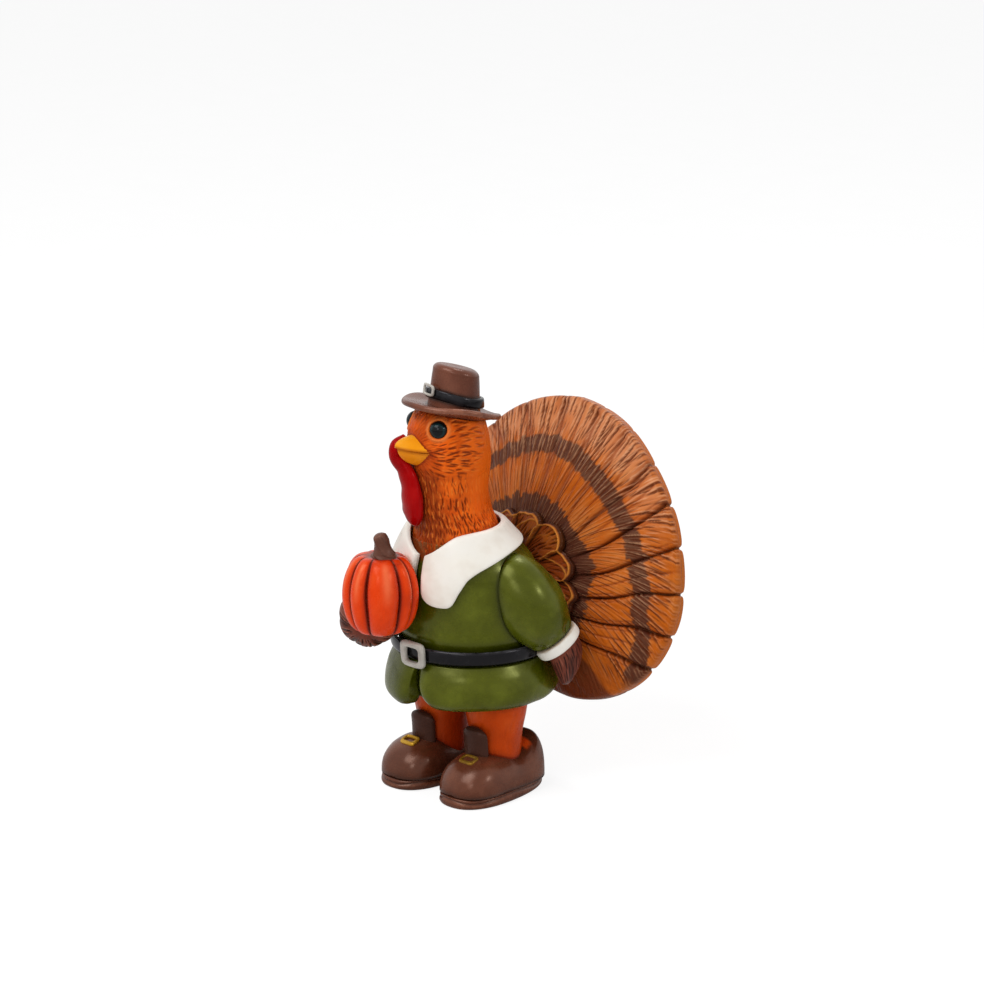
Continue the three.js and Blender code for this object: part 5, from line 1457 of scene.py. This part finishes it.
# Name, shape, paint, record slot, and whether its rings run into the first again
PARTS = [
    ("coat_body", coat_body(), "coat", "coat", False),
    ("belt", belt(), "black", "black", True),
    ("belt_buckle", belt_buckle(), "silver", "silver", True),
    ("skirt_left", skirt(1), "coat", "coat", False),
    ("skirt_right", skirt(-1), "coat", "coat", False),
    ("collar_left", collar(1), "collar", "collar", False),
    ("collar_right", collar(-1), "collar", "collar", False),
    ("head", head(), "plumage", "plumage", False),
    ("eye_left", eye(1), "eye", "eye", False),
    ("eye_right", eye(-1), "eye", "eye", False),
    ("beak_upper", beak_half(*UPPER_BEAK), "beak", "beak", False),
    ("beak_lower", beak_half(*LOWER_BEAK), "beak_lower", "beak", False),
    ("snood", snood(), "snood", "snood", False),
    ("hat_brim", hat_brim(), "hat", "hat", True),
    ("hat_crown", hat_crown(), "hat", "hat", False),
    ("hat_band", hat_band(), "black", "black", True),
    ("hat_buckle", hat_buckle(), "silver", "silver", True),
    ("sleeve_left", sleeve(LEFT_ARM, SLEEVE), "coat", "coat", False),
    ("sleeve_right", sleeve(right_arm, RIGHT_SLEEVE), "coat", "coat", False),
    ("cuff_left", cuff(left_cuff_start, left_down), "collar", "collar", False),
    ("cuff_right", cuff(right_cuff_start, to_elbow), "collar", "collar", False),
    ("wing_hand_left", wing_hand(left_hand_start, left_down), "wing", "wing", False),
    ("wing_hand_right", palm(), "wing", "wing", False),
    ("pumpkin", pumpkin(), "pumpkin", "pumpkin", False),
    ("pumpkin_stem", pumpkin_stem(), "stem", "stem", False),
    ("tail_fan", tail_face(), "tail", "tail", False),
    ("tail_back", tail_back(), "tail", "tail", False),
    ("tail_coverts", tail_coverts(), "covert", "covert", False),
]
for word, sign in SIDES:
    PARTS += [
        (f"leg_{word}", leg(sign), "leg", "leg", False),
        (f"shoe_sole_{word}", sole(sign), "shoe", "shoe", False),
        (f"shoe_upper_{word}", shoe_upper(sign), "shoe", "shoe", False),
        (f"shoe_tongue_{word}", shoe_tongue(sign), "tongue", "shoe", False),
        (f"shoe_buckle_{word}", shoe_buckle(sign), "gold", "gold", True),
    ]
SHAPES.update({name: shape for name, shape, *rest in PARTS})

# Dark wash and painted shade in the seams between neighbours: piece, reach in millimetres, neighbours
SEAMS = [
    ("coat_body", 1.6, ("belt", "collar_left", "collar_right", "sleeve_left", "sleeve_right", "pumpkin")),
    ("skirt_left", 1.3, ("belt", "belt_buckle", "leg_left")),
    ("skirt_right", 1.3, ("belt", "belt_buckle", "leg_right")),
    ("sleeve_left", 1.1, ("collar_left", "coat_body", "cuff_left")),
    ("sleeve_right", 1.1, ("collar_right", "coat_body", "cuff_right")),
    ("head", 1.2, ("collar_left", "collar_right", "snood", "hat_brim", "beak_upper", "beak_lower")),
    ("collar_left", 0.7, ("head", "pumpkin", "pumpkin_stem")),
    ("collar_right", 0.7, ("head", "pumpkin", "pumpkin_stem")),
    ("pumpkin", 1.2, ("pumpkin_stem", "wing_hand_right", "coat_body")),
    ("leg_left", 1.4, ("shoe_upper_left", "skirt_left")),
    ("leg_right", 1.4, ("shoe_upper_right", "skirt_right")),
    ("cuff_left", 0.6, ("sleeve_left", "wing_hand_left")),
    ("hat_crown", 0.7, ("hat_band",)),
    ("hat_brim", 1.0, ("hat_band", "hat_crown")),
    ("tail_fan", 1.6, ("tail_coverts",)),
]
for name, reach, others in SEAMS:
    FIELDS.setdefault(name, {})["wash_and_shade"] = near(SHAPES[name], reach, *others)
# Shoulders run into the coat: no wash or painted shade over the top of the arms
for name in ("coat_body", "sleeve_left", "sleeve_right"):
    x, y, z = np.moveaxis(SHAPES[name], -1, 0)
    over_arm = ease(z, 34, 37) * ease(y, -3, -1) * ease(np.abs(x), 7, 8.5)
    FIELDS[name]["wash_and_shade"] *= 1 - over_arm

# The fan is two pieces over one node
STANDS_FOR = {"tail_back": "tail_fan"}
for name, shape, paint, slot, loop in PARTS:
    make(name, shape, paint, slot, loop, STANDS_FOR.get(name))


# Camera, at the photograph's angle: its aim is given by right, up and toward the camera from the torso

AZIMUTH = np.radians(43)
ELEVATION = np.radians(16)
CAMERA_AWAY = 600
CAMERA_AIM = (3.279, 47.27, 6.5)
FRAME_WIDTH = 160.52
SENSOR_WIDTH = 36
level = np.cos(ELEVATION)
right = np.array([np.cos(AZIMUTH), np.sin(AZIMUTH), 0])
toward = np.array([np.sin(AZIMUTH) * level, -np.cos(AZIMUTH) * level, np.sin(ELEVATION)])
up = np.cross(toward, right)
target = CAMERA_AIM[0] * right + CAMERA_AIM[1] * up + CAMERA_AIM[2] * toward + TORSO
camera = bpy.data.objects.new("camera", bpy.data.cameras.new("camera"))
camera.data.sensor_width = SENSOR_WIDTH
camera.data.lens = SENSOR_WIDTH * CAMERA_AWAY / FRAME_WIDTH
camera.data.clip_start = 0.01
camera.data.clip_end = 20
camera.matrix_world = Matrix([
    [right[i], up[i], toward[i], (target[i] + CAMERA_AWAY * toward[i]) * MM] for i in range(3)
] + [[0, 0, 0, 1]])
bpy.context.scene.collection.objects.link(camera)
bpy.context.scene.camera = camera


# Studio

AROUND_LIGHT = 0.34
FLOOR_HALF = 3
FLOOR_TONE = (0.27, 0.28)
FLOOR_LIT = (0.8, 0.8, 0.8, 1)
FLOOR_GLOW = 0.84


def lamp(name, place, size, power):
    """Square soft lamp at a place by right, up and toward the camera in metres, aimed at the figure."""
    light = bpy.data.lights.new(name, "AREA")
    light.size = size
    light.energy = power
    item = bpy.data.objects.new(name, light)
    aim = Vector(target * MM)
    item.location = aim + Vector(place[0] * right + place[1] * up + place[2] * toward)
    item.rotation_euler = (aim - item.location).to_track_quat("-Z", "Y").to_euler()
    bpy.context.scene.collection.objects.link(item)


lamp("key lamp", (-0.26, 0.38, 0.34), 0.34, 1.75)
lamp("front lamp", (-0.16, 0.1, 0.55), 0.16, 0.3)
lamp("fill lamp", (0.42, 0.16, 0.3), 0.09, 0.38)
lamp("top lamp", (0.12, 0.5, -0.06), 0.12, 0.5)

world = bpy.data.worlds.new("white studio")
bpy.context.scene.world = world
world.use_nodes = True
tree = world.node_tree
rays = add(tree, "ShaderNodeLightPath").outputs
seen = calc(tree, "MAXIMUM", rays["Is Camera Ray"], rays["Is Glossy Ray"])
seen = calc(tree, "MAXIMUM", seen, rays["Is Transmission Ray"])
sky = tree.nodes["Background"]
sky.inputs["Color"].default_value = (1, 1, 1, 1)
tree.links.new(stretch(tree, seen, 0, 1, AROUND_LIGHT, 1.0), sky.inputs["Strength"])

floor_mesh = bpy.data.meshes.new("floor")
floor_corners = [(x * FLOOR_HALF, y * FLOOR_HALF, 0) for x, y in ((-1, -1), (1, -1), (1, 1), (-1, 1))]
floor_mesh.from_pydata(floor_corners, [], [(0, 1, 2, 3)])
floor = bpy.data.objects.new("floor", floor_mesh)
bpy.context.scene.collection.objects.link(floor)
floor_paint = bpy.data.materials.new("pale floor")
floor_paint.use_nodes = True
tree = floor_paint.node_tree
shader = tree.nodes["Principled BSDF"]
rays = add(tree, "ShaderNodeLightPath").outputs
grain = noise(tree, Vector=add(tree, "ShaderNodeTexCoord").outputs["Object"], Scale=90.0)
tone = stretch(tree, grain, 0.3, 0.7, *FLOOR_TONE)
bright = add(tree, "ShaderNodeCombineColor", {0: tone, 1: tone, 2: tone}).outputs[0]
tree.links.new(blend(tree, rays["Is Camera Ray"], FLOOR_LIT, bright), shader.inputs["Base Color"])
glow = stretch(tree, rays["Is Camera Ray"], 0, 1, 0.0, FLOOR_GLOW)
tree.links.new(glow, shader.inputs["Emission Strength"])
shader.inputs["Emission Color"].default_value = (1, 1, 1, 1)
shader.inputs["Roughness"].default_value = 0.9
shader.inputs["Specular IOR Level"].default_value = 0.0
floor_mesh.materials.append(floor_paint)

bpy.context.scene.view_settings.view_transform = "Standard"
